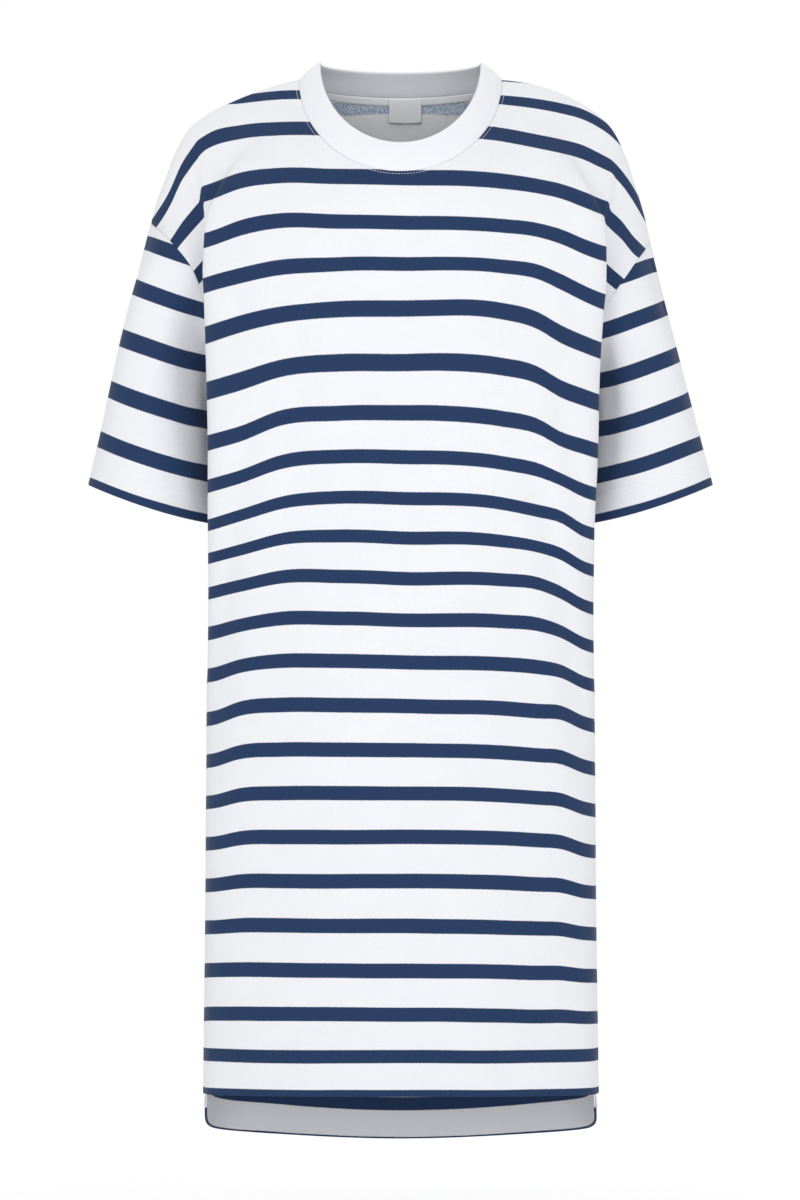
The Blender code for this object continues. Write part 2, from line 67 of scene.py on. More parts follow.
armhole = {
    # x, y, z
    "front": [(226.0, 3.0, -152.0), (208.0, -35.0, -168.0), (186.0, -51.0, -195.0),
              (173.0, -45.0, -236.0), (166.0, -20.0, -277.0), (161.5, 6.0, -300.0)],
    "back": [(226.0, 3.0, -152.0), (211.0, 39.0, -172.0), (193.0, 57.0, -201.0),
             (178.0, 53.0, -240.0), (167.0, 31.0, -279.0), (161.5, 6.0, -300.0)],
}
knots = {"breast": 0.36, "fold": 0.66, "hollow": 0.77, "seam": 1.0}
breastShare = 0.56
sections = {
    # z, middleY, breastY, rightFold, leftFold, foldY, inset, hollowY
    "front": [
        (-102.0, -98.0, -92.0, 184.0, 193.0, -55.0, 7.0, -42.0),
        (-150.0, -113.0, -106.0, 179.0, 190.5, -69.0, 9.0, -53.0),
        (-200.0, -120.0, -113.0, 177.0, 184.0, -74.0, 12.0, -57.0),
        (-250.0, -124.0, -117.0, 175.0, 180.0, -75.0, 15.0, -52.0),
        (-300.0, -126.0, -118.0, 173.0, 177.5, -75.0, 19.0, -42.0),
        (-350.0, -126.0, -118.0, 172.0, 176.5, -74.0, 20.0, -35.0),
        (-410.0, -126.0, -117.0, 172.5, 174.0, -71.0, 17.0, -32.0),
        (-460.0, -126.0, -116.0, 172.5, 173.5, -66.0, 8.0, -30.0),
        (-520.0, -125.0, -114.0, 172.0, 172.5, -60.0, 0.0, -28.0),
        (-620.0, -124.0, -112.0, 171.5, 172.0, -57.0, -3.0, -27.0),
        (-760.0, -122.0, -110.0, 171.5, 172.0, -56.0, -4.0, -26.0),
        (-926.0, -120.0, -108.0, 172.5, 173.5, -56.0, -5.0, -26.0),
    ],
    "back": [
        (-25.5, 77.0, 74.0, 180.0, 180.0, 50.0, 3.0, 40.0),
        (-102.0, 100.0, 94.0, 184.0, 184.0, 62.0, 4.0, 50.0),
        (-150.0, 111.0, 105.0, 183.0, 184.0, 68.0, 4.0, 54.0),
        (-200.0, 117.0, 111.0, 181.0, 181.0, 74.0, 6.0, 60.0),
        (-250.0, 118.0, 112.0, 178.0, 178.0, 77.0, 9.0, 58.0),
        (-300.0, 116.0, 111.0, 175.0, 176.0, 78.0, 13.0, 52.0),
        (-350.0, 112.0, 108.0, 173.0, 174.0, 77.0, 15.0, 46.0),
        (-410.0, 108.0, 104.0, 171.0, 172.0, 74.0, 12.0, 42.0),
        (-460.0, 106.0, 102.0, 170.0, 171.0, 69.0, 6.0, 39.0),
        (-520.0, 105.0, 100.0, 169.0, 170.0, 65.0, 0.0, 37.0),
        (-620.0, 107.0, 101.0, 168.0, 169.0, 63.0, -3.0, 36.0),
        (-760.0, 114.0, 106.0, 168.0, 169.0, 64.0, -4.0, 36.0),
        (-981.0, 126.0, 115.0, 171.0, 172.0, 67.0, -5.0, 38.0),
    ],
}
sideSeam = [
    # z, x, y
    (-300.0, 161.5, 6.0), (-308.0, 155.5, 6.0), (-322.0, 152.5, 6.0), (-360.0, 152.0, 6.0),
    (-410.0, 153.0, 6.0), (-450.0, 160.0, 6.0), (-490.0, 168.5, 6.0), (-540.0, 174.0, 6.0),
    (-660.0, 175.0, 6.0), (-866.0, 176.5, 6.0), (-981.0, 178.0, 6.0),
]
# Folds and creases: each runs down from its top to its bottom, dips on its outer side and stands out on its
# inner side. A crest is crestWidth times as wide as a dip, and a fold's strength would reach 0 at lowEnd.
foldShape = {"lowEnd": 1.15, "crestWidth": 1.3}
folds = [
    # panel, topX, topZ, bottomX, bottomZ, bow, depth, width, ridge
    ("front", 126.0, -275.0, 171.0, -560.0, 4.0, 6.0, 11.0, 0.45),
    ("front", 106.0, -350.0, 166.0, -790.0, 11.0, 6.5, 12.0, 0.45),
    ("front", -124.0, -320.0, -163.0, -745.0, -6.0, 6.0, 12.0, 0.45),
    ("back", 112.0, -250.0, 150.0, -640.0, 7.0, 6.0, 13.0, 0.45),
    ("back", -106.0, -300.0, -158.0, -720.0, -9.0, 7.0, 13.0, 0.45),
    ("back", 38.0, -380.0, 62.0, -900.0, 6.0, 4.0, 16.0, 0.45),
    ("front", -138.0, -165.0, -150.0, -330.0, 5.0, 1.6, 8.0, 0.6),
    ("front", 142.0, -130.0, 158.0, -300.0, -4.0, 1.5, 8.0, 0.6),
    ("front", 62.0, -420.0, 96.0, -700.0, 6.0, 1.2, 15.0, 0.7),
    ("front", -58.0, -560.0, -84.0, -880.0, -5.0, 1.3, 16.0, 0.7),
    ("front", 30.0, -700.0, 44.0, -920.0, 3.0, 1.0, 17.0, 0.7),
    ("back", -40.0, -180.0, -70.0, -420.0, -6.0, 1.6, 13.0, 0.6),
    ("back", 136.0, -140.0, 150.0, -290.0, -4.0, 1.6, 9.0, 0.6),
    ("back", -64.0, -560.0, -92.0, -930.0, -8.0, 2.2, 15.0, 0.6),
    ("back", 96.0, -700.0, 118.0, -940.0, 5.0, 1.8, 14.0, 0.6),
]


sideColumns = ((-1, 0), (1, -1))    # the right side and the first column, the left side and the last one


def cubic(f, start, leave, end, arrive):
    # From start to end as f goes from 0 to 1, with the slope leave at the start and arrive at the end.
    return ((2 * f**3 - 3 * f**2 + 1) * start + (f**3 - 2 * f**2 + f) * leave
            + (3 * f**2 - 2 * f**3) * end + (f**3 - f**2) * arrive)


def spline(places, values, at, start=None, end=None):
    # A smooth curve through the values: cubic pieces. The slope at a knot is the mean of its two chords,
    # weighted towards that of the shorter piece.
    places, values, at = (np.asarray(a, float) for a in (places, values, at))
    step = np.diff(places).reshape((-1,) + (1,) * (values.ndim - 1))
    chord = np.diff(values, axis=0) / step
    inner = (chord[:-1] * step[1:] + chord[1:] * step[:-1]) / (step[1:] + step[:-1])
    first = chord[0] if start is None else np.asarray(start, float)
    last = chord[-1] if end is None else np.asarray(end, float)
    slope = np.concatenate([first[None], inner, last[None]])
    piece = np.clip(np.searchsorted(places, at, side="right") - 1, 0, len(places) - 2)
    width = places[piece + 1] - places[piece]
    f = ((at - places[piece]) / width).reshape(at.shape + (1,) * (values.ndim - 1))
    width = width.reshape(f.shape)
    return cubic(f, values[piece], width * slope[piece], values[piece + 1], width * slope[piece + 1])


def along(points, fraction):
    # The point at a fraction of the length of a smooth curve through the points.
    points = np.asarray(points, float)
    reach = reachDown(points)
    return spline(reach, points, np.clip(fraction, 0, 1) * reach[-1])


def smooth(x):
    # 0 below 0, 1 above 1, and 3x^2 - 2x^3 between.
    x = np.clip(x, 0, 1)
    return x * x * (3 - 2 * x)


def neckRing(ring, panel, u):
    # Half an ellipse from the right shoulder (u = -1) through the middle to the left one: its width goes by
    # the sine of a quarter turn of u, its depth and height by the cosine.
    turn = np.asarray(u, float) * math.pi / 2
    deep = np.cos(turn)
    x = ring["halfWidth"] * np.sin(turn)
    y = cut["shoulderY"] + (ring[panel + "Y"] - cut["shoulderY"]) * deep
    z = ring["shoulderZ"] + (ring[panel + "Z"] - ring["shoulderZ"]) * deep
    return np.stack([x, y, z], axis=-1)


def lean(points, side):
    # The left tip hangs lower and the right one higher, by a power of the way out along the shoulder, and
    # less and less down the armhole. The left shoulder stands up midway along its seam and the left armhole
    # sags, each by half a wave of a sine.
    x, y, z = points[..., 0], points[..., 1], points[..., 2]
    neck, tip = shoulderSeam[0][0], shoulderSeam[-1][0]
    out = np.clip((x - neck) / (tip - neck), 0, 1)
    down = np.clip((cut["tipHeight"] - z) / (cut["tipHeight"] - cut["underarmHeight"]), 0, 1)
    above, below = -side * cut["tipLean"] * out ** cut["leanPower"], -side * cut["tipLean"] * (1 - down)
    if side > 0:
        above = above + cut["shoulderLift"] * np.sin(math.pi * out ** cut["liftSkew"])
        below = below - cut["armholeSag"] * np.sin(math.pi * down ** cut["sagSkew"])
    return np.stack([side * x, y, z + np.where(z > cut["tipHeight"], above, below)], axis=-1)


def seamPoints(panel, side, v):
    # Where rows end: on the shoulder seam, then the armhole, then the side seam and the edge of the slit.
    v = np.asarray(v, float)
    top = along(shoulderSeam, v / cut["tip"])
    top = lean(np.stack([top[..., 0], np.full(v.shape, cut["shoulderY"]), top[..., 1]], axis=-1), side)
    arm = lean(along(armhole[panel], (v - cut["tip"]) / (cut["underarm"] - cut["tip"])), side)
    hemSide = cut[panel + "Hem"][0]
    down = np.clip((v - cut["underarm"]) / (cut["slit"] - cut["underarm"]), 0, 1) ** cut["crowding"]
    opened = np.clip((v - cut["slit"]) / (cut["hem"] - cut["slit"]), 0, 1)
    z = (cut["underarmHeight"] + (cut["slitHeight"] - cut["underarmHeight"]) * down
         + (hemSide - cut["slitHeight"]) * opened)
    table = np.array(sideSeam)[::-1]
    xy = spline(table[:, 0], table[:, 1:], z)
    spread = cut["slitSpread"] * opened * (-1 if panel == "front" else 1)
    low = np.stack([side * xy[..., 0], xy[..., 1] + spread, z], axis=-1)
    v = v[..., None]
    return np.where(v <= cut["tip"], top, np.where(v <= cut["underarm"], arm, low))


def middleHeight(panel, v):
    # The height of a row's middle, with the same rows as at its ends.
    ringZ, (_, hemMiddle) = neckSeam[panel + "Z"], cut[panel + "Hem"]
    if v <= cut["tip"]:
        return ringZ + (cut["tipHeight"] - ringZ) * v / cut["tip"]
    if v <= cut["underarm"]:
        return (cut["tipHeight"] + (cut["underarmHeight"] - cut["tipHeight"])
                * (v - cut["tip"]) / (cut["underarm"] - cut["tip"]))
    if v <= cut["slit"]:
        return float(seamPoints(panel, 1, v)[2])
    low = (v - cut["slit"]) / (cut["hem"] - cut["slit"])
    return cut["slitHeight"] + (hemMiddle - cut["slitHeight"]) * low


def endSlope(panel, side, v, seam, hollow):
    # Square to the side at the tip and the low side seam, along the chord from the hollow at the armhole,
    # and outward at the underarm.
    chord = (np.asarray(seam) - np.asarray(hollow)) / (knots["seam"] - knots["hollow"]) * side
    reach = np.linalg.norm(chord)
    rear = 1 if panel == "front" else -1
    square = np.array([0.0, rear * side, 0.0]) * reach
    out, back, up = cut["underarmLeave"]
    outward = np.array([out, rear * side * back, up]) * reach
    if v <= cut["tip"]:
        return square
    if v < cut["underarm"]:
        low = (v - cut["tip"]) / (cut["underarm"] - cut["tip"])
        fade = max(0.0, 1 - cut["tipFade"] * low)
        return fade * square + (1 - fade) * ((1 - low**2) * chord + low**2 * outward)
    fade = max(0.0, 1 - (v - cut["underarm"]) / cut["underarmFade"])
    return fade * outward + (1 - fade) * square


def sectionRow(panel, v, u):
    # One row across at or below the tip: a smooth curve through middle, breast, fold, hollow and seam on
    # each side.
    table = np.array(sections[panel])[::-1]
    z = middleHeight(panel, v)
    middleY, breastY, rightFold, leftFold, foldY, inset, hollowY = spline(table[:, 0], table[:, 1:], z)
    places, points, ends = [0.0], [(0.0, middleY, z)], {}
    for side, fold in ((-1, rightFold), (1, leftFold)):
        seam = seamPoints(panel, side, v)
        outer = [(breastShare * fold, breastY, "breast"), (fold, foldY, "fold"),
                 (fold - inset, hollowY, "hollow")]
        half = [(side * x, y, z + (seam[2] - z) * knots[name] ** 2) for x, y, name in outer] + [tuple(seam)]
        halfPlaces = [side * knots[name] for name in ("breast", "fold", "hollow", "seam")]
        if side < 0:
            points, places = half[::-1] + points, halfPlaces[::-1] + places
        else:
            points, places = points + half, places + halfPlaces
        ends[side] = endSlope(panel, side, v, seam, half[-2])
    return spline(places, points, u, start=ends[-1], end=ends[1])


def yokeRow(panel, w, u):
    # A row between the neck seam and the tip row: their mean, pulled to the shoulder seams and middle line.
    top, low = neckRing(neckSeam, panel, u), sectionRow(panel, cut["tip"], u)
    row = (1 - w) * top + w * low
    out = np.abs(u)[:, None]
    v = w * cut["tip"]
    for side, column in sideColumns:
        pull = seamPoints(panel, side, v) - ((1 - w) * top[column] + w * low[column])
        row = row + np.where(np.sign(u)[:, None] == side, out**2, 0.0) * pull
    table = np.array(sections[panel])[::-1]
    middleY = spline(table[:, 0], table[:, 1], middleHeight(panel, v))
    row[:, 1] += (middleY - row[len(u) // 2, 1]) * (1 - out[:, 0]) ** 2
    return row


def riseAndFall(f):
    # 0 at f = 0 and at f = 1, and 1 midway: the root of 4 f (1 - f).
    return np.sqrt(np.clip(f, 0, 1) * np.clip(1 - f, 0, 1) * 4)


def foldPush(panel, grid):
    # Each fold pushes along Y by depth * strength * (a bell on its outer side - ridge * a bell on its inner
    # side). The strength rises and falls along the fold as the root of 4 f (1 - f), and is less towards its
    # lower end.
    x, z = grid[..., 0], grid[..., 2]
    push = np.zeros(x.shape)
    for name, topX, topZ, bottomX, bottomZ, bow, depth, width, ridge in folds:
        if name != panel:
            continue
        f = (topZ - z) / (topZ - bottomZ)
        path = topX + (bottomX - topX) * f + bow * np.sin(math.pi * np.clip(f, 0, 1))
        off = (x - path) * np.sign(topX)
        strength = riseAndFall(f) * np.clip(foldShape["lowEnd"] - f, 0, 1)
        dip = np.exp(-(((off - width) / width) ** 2))
        crest = ridge * np.exp(-(((off + width) / (foldShape["crestWidth"] * width)) ** 2))
        push += depth * strength * (dip - crest)
    return push if panel == "front" else -push


# Powers of the distance across, from 0 in the middle to 1 at a side seam
sidePower = {"nearTip": 3, "seamMend": 12, "foldFade": 6, "lapFade": 12}


def panelSurface(panel, u, v):
    # Position as a function of u across and v down: splines through the station rows, then folds pushed in.
    # The stations near the tip count only towards the sides, where the columns are mended onto the seams.
    fine = np.concatenate([u, [0.0]])
    order = np.argsort(fine, kind="stable")
    rows = []
    for station in cut["stations"]:
        if station < cut["tip"]:
            row = yokeRow(panel, station / cut["tip"], fine[order])
        else:
            row = sectionRow(panel, station, fine[order])
        placed = np.empty_like(row)
        placed[order] = row
        rows.append(placed[:-1])
    rows, stations = np.array(rows), np.array(cut["stations"], float)
    free = ~np.isin(stations, cut["nearTip"])
    loose, tight = spline(stations[free], rows[free], v), spline(stations, rows, v)
    out = np.abs(u)
    grid = loose + (tight - loose) * (out ** sidePower["nearTip"])[None, :, None]
    for side in (-1, 1):
        miss = seamPoints(panel, side, v) - spline(stations, seamPoints(panel, side, stations), v)
        share = np.where(np.sign(u) == side, out ** sidePower["seamMend"], 0.0)
        grid += share[None, :, None] * miss[:, None, :]
    grid[..., 1] += foldPush(panel, grid) * (1 - out ** sidePower["foldFade"])[None, :]
    if panel == "front":
        grid[..., 1] += lapPush(grid, u) * (1 - out ** sidePower["lapFade"])[None, :]
    return grid


def gridNormals(grid, closed):
    # Unit normals: the cross product of the steps down and across. closed joins the last column to the first.
    if closed:
        across = np.roll(grid, -1, axis=1) - np.roll(grid, 1, axis=1)
    else:
        across = np.gradient(grid, axis=1)
    return unit(np.cross(np.gradient(grid, axis=0), across))


def unit(vectors):
    # Vectors divided by their lengths.
    return vectors / np.linalg.norm(vectors, axis=-1, keepdims=True)


def reachDown(grid):
    # Length down each column from its top, or along a path from its start.
    steps = np.linalg.norm(np.diff(grid, axis=0), axis=-1)
    return np.concatenate([np.zeros((1,) + steps.shape[1:]), np.cumsum(steps, axis=0)])


def resample(values, reach, wanted):
    # Each column of values read at the wanted lengths down it, straight between its rows.
    below = [np.searchsorted(reach[:, c], wanted[:, c], side="right") for c in range(reach.shape[1])]
    below = np.clip(np.stack(below, axis=1), 1, len(reach) - 1)
    low, high = np.take_along_axis(reach, below - 1, 0), np.take_along_axis(reach, below, 0)
    tiny = 1e-9    # no step is divided by zero
    f = np.clip((wanted - low) / np.maximum(high - low, tiny), 0, 1)[..., None]
    a = np.take_along_axis(values, (below - 1)[..., None], 0)
    b = np.take_along_axis(values, below[..., None], 0)
    return a + (b - a) * f


def rowsDown(total, topRows, hemRows, spacing):
    # Lengths down every column: close rows at the top seam, even ones, then close rows at the hem.
    topRows, hemRows = np.array(topRows, float), np.array(hemRows, float)
    count = int(np.ceil((total.max() - topRows[-1] - hemRows[0]) / spacing))
    f = (np.arange(1, count) / count)[:, None]
    start, stop = topRows[-1], total - hemRows[0]
    return np.concatenate([np.repeat(topRows[:, None], len(total), 1), start + (stop - start) * f,
                           total - hemRows[:, None]])


# Panels
panelGrid = {
    "halfColumns": 59, "steps": 600,    # from the middle out, and the steps to space them by
    "crowd": 1.1, "crowdPlace": 0.83, "crowdWidth": 0.1,    # how much closer together they are, and where
    "edgeColumns": (0.0, 0.4, 1.0, 1.8, 3.0, 4.8, 6.8, 7.6, 9.5, 12.5),    # from a side seam
    "halfWidth": 214.0,    # mean length across half a panel
    "topRows": (0.0, 0.4, 1.0, 1.8, 2.7, 4.0, 5.6, 6.8, 7.6, 9.4),
    "hemRows": (50, 46, 43.3, 42.6, 42, 41, 39.6, 38.2, 36, 33, 30, 27, 24, 21, 18, 15, 12, 9, 6.5, 4.5, 3,
                1.8, 1, 0.4, 0),
    "rowSpacing": 3.9,
    "wall": 1.3, "hemWall": 2.3, "allowanceWall": 2.1,
    "hemDepth": 42.9, "allowance": 7.2, "stepWidth": 0.8,    # the wall's thickness changes over stepWidth
    "seamRoll": 1.9, "seamDip": 0.30,    # the faces round in this far from a seam, by this share of the wall
    "foldRoll": 1.3, "edgeDip": 0.46,    # the same at a hem's fold; no face rounds in deeper than edgeDip
    "seamReach": 6.0,    # this far from a seam the walls stand square to the cloth again
    "cornerRound": 5.0,
}
solidGrid = {"halfColumns": 20, "steps": 400, "crowd": 0.8, "crowdPlace": 0.71, "crowdWidth": 0.13}
denseSteps = {"tip": 120, "underarm": 60, "slit": 320, "hem": 80}    # rows worked out down to each station
cuff = {"outer": (283.0, 6.0, -381.0), "inner": (165.0, 6.0, -417.0), "depth": 57.0,
        "droop": 4.0, "pull": 0.55}
sleeveGrid = {
    "denseRows": 141, "seamRows": 71,
    "topRows": (0.0, 0.4, 1.0, 1.8, 3.0, 4.8, 6.8, 7.6, 9.5),
    "hemRows": (31, 28, 26.4, 25.4, 24.4, 22.5, 20.5, 18, 15, 12, 9, 6.5, 4.5, 3, 1.8, 1, 0.4, 0),
    "rowSpacing": 3.4, "hemDepth": 25.6,
}
band = {"rows": (0, 0.3, 0.8, 1.6, 2.8, 4.6, 7, 9.5, 12, 14.5, 17, 19.5, 21.5, 23, 24.2, 25, 25.6, 26),
        "crown": 1.2, "wall": 2.6, "topRoll": 1.5}


def crowdedPlaces(g, stop):
    # Places from 0 to stop whose spacing is the inverse of 1 + crowd * a bell.
    fine = np.linspace(0, stop, g["steps"])
    crowd = 1 + g["crowd"] * np.exp(-(((fine - g["crowdPlace"]) / g["crowdWidth"]) ** 2))
    reach = np.concatenate([[0.0], np.cumsum((crowd[1:] + crowd[:-1]) / 2)])
    return np.interp(np.linspace(0, reach[-1], g["halfColumns"]), reach, fine)


def bothHalves(half):
    # Places from -1 to 1, from those of one half.
    return np.concatenate([-half[:0:-1], half])


def columnPlaces():
    # Columns across a panel: closer together by the arms, and at the set distances from each side seam.
    near = np.array(panelGrid["edgeColumns"]) / panelGrid["halfWidth"]
    return bothHalves(np.concatenate([crowdedPlaces(panelGrid, 1 - near[-1]), 1 - near[::-1][1:]]))


def rowPlaces():
    # The dense rows down a panel: even steps from each named station to the next.
    parts, last = [np.zeros(1)], cut["neck"]
    for station, steps in denseSteps.items():
        parts.append(np.linspace(last, cut[station], steps + 1)[1:])
        last = cut[station]
    return np.concatenate(parts)


def edgeLength(grid):
    # For each point, the length across the cloth to the nearer end of its row, and from the row's middle.
    steps = np.linalg.norm(np.diff(grid, axis=1), axis=-1)
    left = np.concatenate([np.zeros((len(grid), 1)), np.cumsum(steps, axis=1)], axis=1)
    return np.minimum(left, left[:, -1:] - left), left - left[:, left.shape[1] // 2][:, None]


def rollIn(distance, width, depth):
    # How deep a face has turned in at a distance from an edge: a quarter of an ellipse, depth at the edge.
    f = np.clip(1 - distance / width, 0, 1)
    nearly = 0.9999    # stops just short of the ellipse's end
    return depth * (1 - np.sqrt(1 - f * f * nearly))


def shellMesh(name, outer, inner, closed, places, stripe, backFaces, materials):
    # A closed wall from two grids of points, one facing each way, with a rim round its open edges. places
    # holds the UV of each point in metres along the cloth, and stripe the stripe number on the outer and
    # the inner face. backFaces numbers the materials of the inner face, and the rims at the two sides take
    # the last material.
    rows, columns = outer.shape[:2]
    count = rows * columns
    points = np.concatenate([outer.reshape(-1, 3), inner.reshape(-1, 3)]) * mm
    number = np.arange(count).reshape(rows, columns)
    if closed:
        number = np.concatenate([number, number[:, :1]], axis=1)
    uvNumber = np.arange(rows * (columns + closed)).reshape(rows, columns + closed)

    def quads(n):
        return np.stack([n[:-1, :-1], n[1:, :-1], n[1:, 1:], n[:-1, 1:]], axis=-1).reshape(-1, 4)

    skin, uvSkin = quads(number), quads(uvNumber)
    rims, uvRims = [], []
    edges = [(number[0], uvNumber[0]), (number[-1][::-1], uvNumber[-1][::-1])]
    if not closed:
        edges += [(number[::-1, 0], uvNumber[::-1, 0]), (number[:, -1], uvNumber[:, -1])]
    for line, uvLine in edges:
        rims.append(np.stack([line[:-1], line[1:], line[1:] + count, line[:-1] + count], axis=-1))
        uvRims.append(np.stack([uvLine[:-1], uvLine[1:], uvLine[1:], uvLine[:-1]], axis=-1))
    faces = np.concatenate([skin, skin[:, ::-1] + count] + rims)
    uvFaces = np.concatenate([uvSkin, uvSkin[:, ::-1]] + uvRims)
    mesh = bpy.data.meshes.new(name)
    mesh.from_pydata(points.tolist(), [], faces.tolist())
    uvMap = mesh.uv_layers.new(name="cloth")
    uvMap.data.foreach_set("uv", places.reshape(-1, 2)[uvFaces.ravel()].astype(np.float32).ravel())
    if stripe is not None:
        number = mesh.attributes.new("stripeNumber", "FLOAT", "POINT")
        number.data.foreach_set("value", np.concatenate([s.ravel() for s in stripe]).astype(np.float32))
    index = np.zeros(len(faces), np.int32)
    index[len(skin):2 * len(skin)] = backFaces.ravel()
    index[len(faces) - sum(len(r) for r in rims[2:]):] = len(materials) - 1
    mesh.polygons.foreach_set("material_index", index)
    for material in materials:
        mesh.materials.append(material)
    mesh.shade_smooth()
    mesh.validate()
    return mesh


def newObject(name, data):
    # Puts a mesh, a light or a camera into the scene.
    made = bpy.data.objects.new(name, data)
    bpy.context.scene.collection.objects.link(made)
    return made


def addPiece(name, mesh, node):
    # Puts a piece in for its node of the model.
    piece = newObject(name, mesh)
    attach(piece, "root")
    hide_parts(node)
    print(name, len(mesh.polygons), "faces")
    return piece


def ringOf(front, back):
    # One ring of points: along the front, then home along the back, whose two ends are the front's.
    return np.concatenate([front, back[-2:0:-1]])


def ringHalves(ring):
    # The front's and the back's part of such a ring, each in its own order and with both ends.
    count = len(ring) // 2 + 1
    return ring[:count], np.concatenate([ring[count - 1:], ring[:1]])[::-1]


def panelRows(dense):
    # The lengths down each column that a panel's fine rows lie at, the dense rows' own, and the lengths up
    # from the hem, which rounds up at its two corners.
    g = panelGrid
    reach = reachDown(dense)
    side, _ = edgeLength(dense[-1:])
    total = reach[-1] - rollIn(side[0], g["cornerRound"], g["cornerRound"])
    wanted = rowsDown(total, g["topRows"], g["hemRows"], g["rowSpacing"])
    return wanted, reach, total[None] - wanted


# Stripes: narrow navy ones on white, numbered up from the front hem
stripes = {
    "share": 0.332,    # width as a share of the pitch
    "frontFold": -0.017, "backFold": -1.117,    # stripe number at each hem's fold
    "frontPitch": (35.2, 35.2), "backPitch": (36.4, 44.0),    # beside a fold, in the middle and at the sides
    "cuffPitch": 40.0,    # beside the sleeve hem's fold
    "hemFollow": (32.0, 45.0), "cuffFollow": (0.0, 20.0),    # how far up they follow a fold, and fade
    "backNeck": (23.0, -33.6),    # number and height in the middle of the back neck
    "backTwist": 0.8, "backTwistTop": -700.0,
    "backFree": 3.0,    # the last stations, over which they leave the front's
    "eyeDistance": 7000.0, "eyeHeight": -485.0,    # where the heights below were seen from
    "steps": 521, "rounds": 12,    # how finely they are worked out
}
frontHeights = [
    # stripe number, height in the middle as seen
    (-1, -973.0), (0, -933.5), (2, -860.2), (4, -779.7), (6, -699.6), (8, -621.3), (10, -541.6),
    (12, -465.6), (13, -428.5), (14, -392.8), (15, -355.7), (16, -315.8), (17, -270.1), (18, -221.3),
    (19, -181.0), (20, -143.4), (21, -102.7), (22, -59.7), (23, -29.4), (24, -12.0), (25, 5.0),
]
# x of the columns of frontDrops, then of armDrops on the right and on the left
dropPlaces = (-183.0, -170.0, -145.0, -109.0, -55.0, 0.0, 90.0, 126.0, 144.0, 167.0, 181.0, 194.0)
rightPlaces = (-226.0, -209.0, -198.0, -191.0, -183.0, -172.0)
leftPlaces = (172.0, 183.0, 192.0, 200.0, 210.0, 221.0, 228.0)
frontDrops = [
    # stripe number, then how much lower it runs at each place than in the middle, in front of the arm folds
    (25, (11, 4, 1, -5, -2.5, 0, -1.5, 0, 0, 8, 18, 30)),
    (23, (12, 5, 2.5, -1.5, -1, 0, 2.5, 6.5, 10, 16.6, 24, 33)),
    (22, (15, 7.5, 1.5, -1.5, -1, 0, 4, 11, 15, 21.3, 28, 34.5)),
    (21, (16, 12, 3, -2, -1, 0, 3, 8, 12, 21, 26.5, 30)),
    (20, (18, 14.3, 5, -2, -1, 0, 3, 7, 12, 22, 27, 30.5)),
    (19, (21, 17, 11, 3, 0, 0, 2, 7, 15, 27, 33, 37)),
    (18, (26.5, 22, 14, 6, 0.5, 0, 2, 12, 23, 33, 38, 41)),
    (16, (29.5, 26, 19, 4.5, 0.2, 0, 5, 13, 24, 31, 35, 37)),
    (14, (28, 24, 16, 5, -0.5, 0, 4.5, 12, 16, 30, 34, 36)),
    (12, (15, 12, 6, -2, -2, 0, 1, 4.5, 12, 25, 29, 31)),
    (9, (12.5, 11, 2, -1, -1, 0, 2, 4.5, 5.5, 15.5, 19, 20.5)),
    (6, (6, 5.5, 1, 0, 0, 0, 1, 3, 4.5, 12, 14, 15)),
    (3, (0, -0.5, -1, -0.5, -0.3, 0, 1, 2, 2, 4.5, 5, 5.5)),
    (-1, (0, 0, 0, 0, 0, 0, -0.5, 0, -1, -2.5, -3, -3)),
]
armDrops = [
    # the same on the cloth beyond those folds, down to the armhole and the side seam
    (25, (84, 54, 32, 21, 11, 5, 18, 25, 32, 40, 55, 74, 87)),
    (23, (84, 54, 32, 21, 12, 6, 19, 25.5, 32.5, 41, 56, 75, 88)),
    (22, (89.5, 62, 37, 26.3, 16, 9, 24, 29.5, 34.5, 42.8, 57, 77, 89)),
    (21, (88, 65.5, 50, 41.6, 32.2, 20, 22, 31, 39.8, 47, 60, 69.5, 76)),
    (20, (98, 78, 65, 57.5, 48.2, 36, 33, 42.5, 50.3, 57, 66, 75, 82)),
    (19, (100, 84, 74, 67, 60, 48, 45, 54, 60, 66, 74, 82, 88)),
    (17, (60, 56, 52, 49, 46, 40, 42, 45, 47, 49, 51, 53, 55)),
    (15, (32, 32, 32, 32, 32, 32, 36, 36, 36, 36, 36, 36, 36)),
    (12, (15, 15, 15, 15, 15, 15, 30, 30, 30, 30, 30, 30, 30)),
    (9, (12.5, 12.5, 12.5, 12.5, 12.5, 12.5, 20, 20, 20, 20, 20, 20, 20)),
    (3, (0, 0, 0, 0, 0, 0, 5.5, 5.5, 5.5, 5.5, 5.5, 5.5, 5.5)),
    (-1, (0, 0, 0, 0, 0, 0, -3, -3, -3, -3, -3, -3, -3)),
]
armFold = [
    # z, the place across the front (u) of the fold's edge on the right and the left, its turn's width in u
    (-30.0, 1.120, 1.120, 0.060), (-45.0, 1.040, 1.040, 0.060), (-60.0, 0.955, 0.970, 0.060),
    (-80.0, 0.895, 0.925, 0.030), (-100.0, 0.872, 0.905, 0.012), (-125.0, 0.843, 0.865, 0.012),
    (-150.0, 0.800, 0.805, 0.030), (-175.0, 0.760, 0.770, 0.050), (-250.0, 0.745, 0.750, 0.060),
    (-1000.0, 0.745, 0.750, 0.080),
]
armLap = {"depth": 2.6, "reach": 0.055, "heights": (-84.0, -104.0, -140.0, -165.0)}


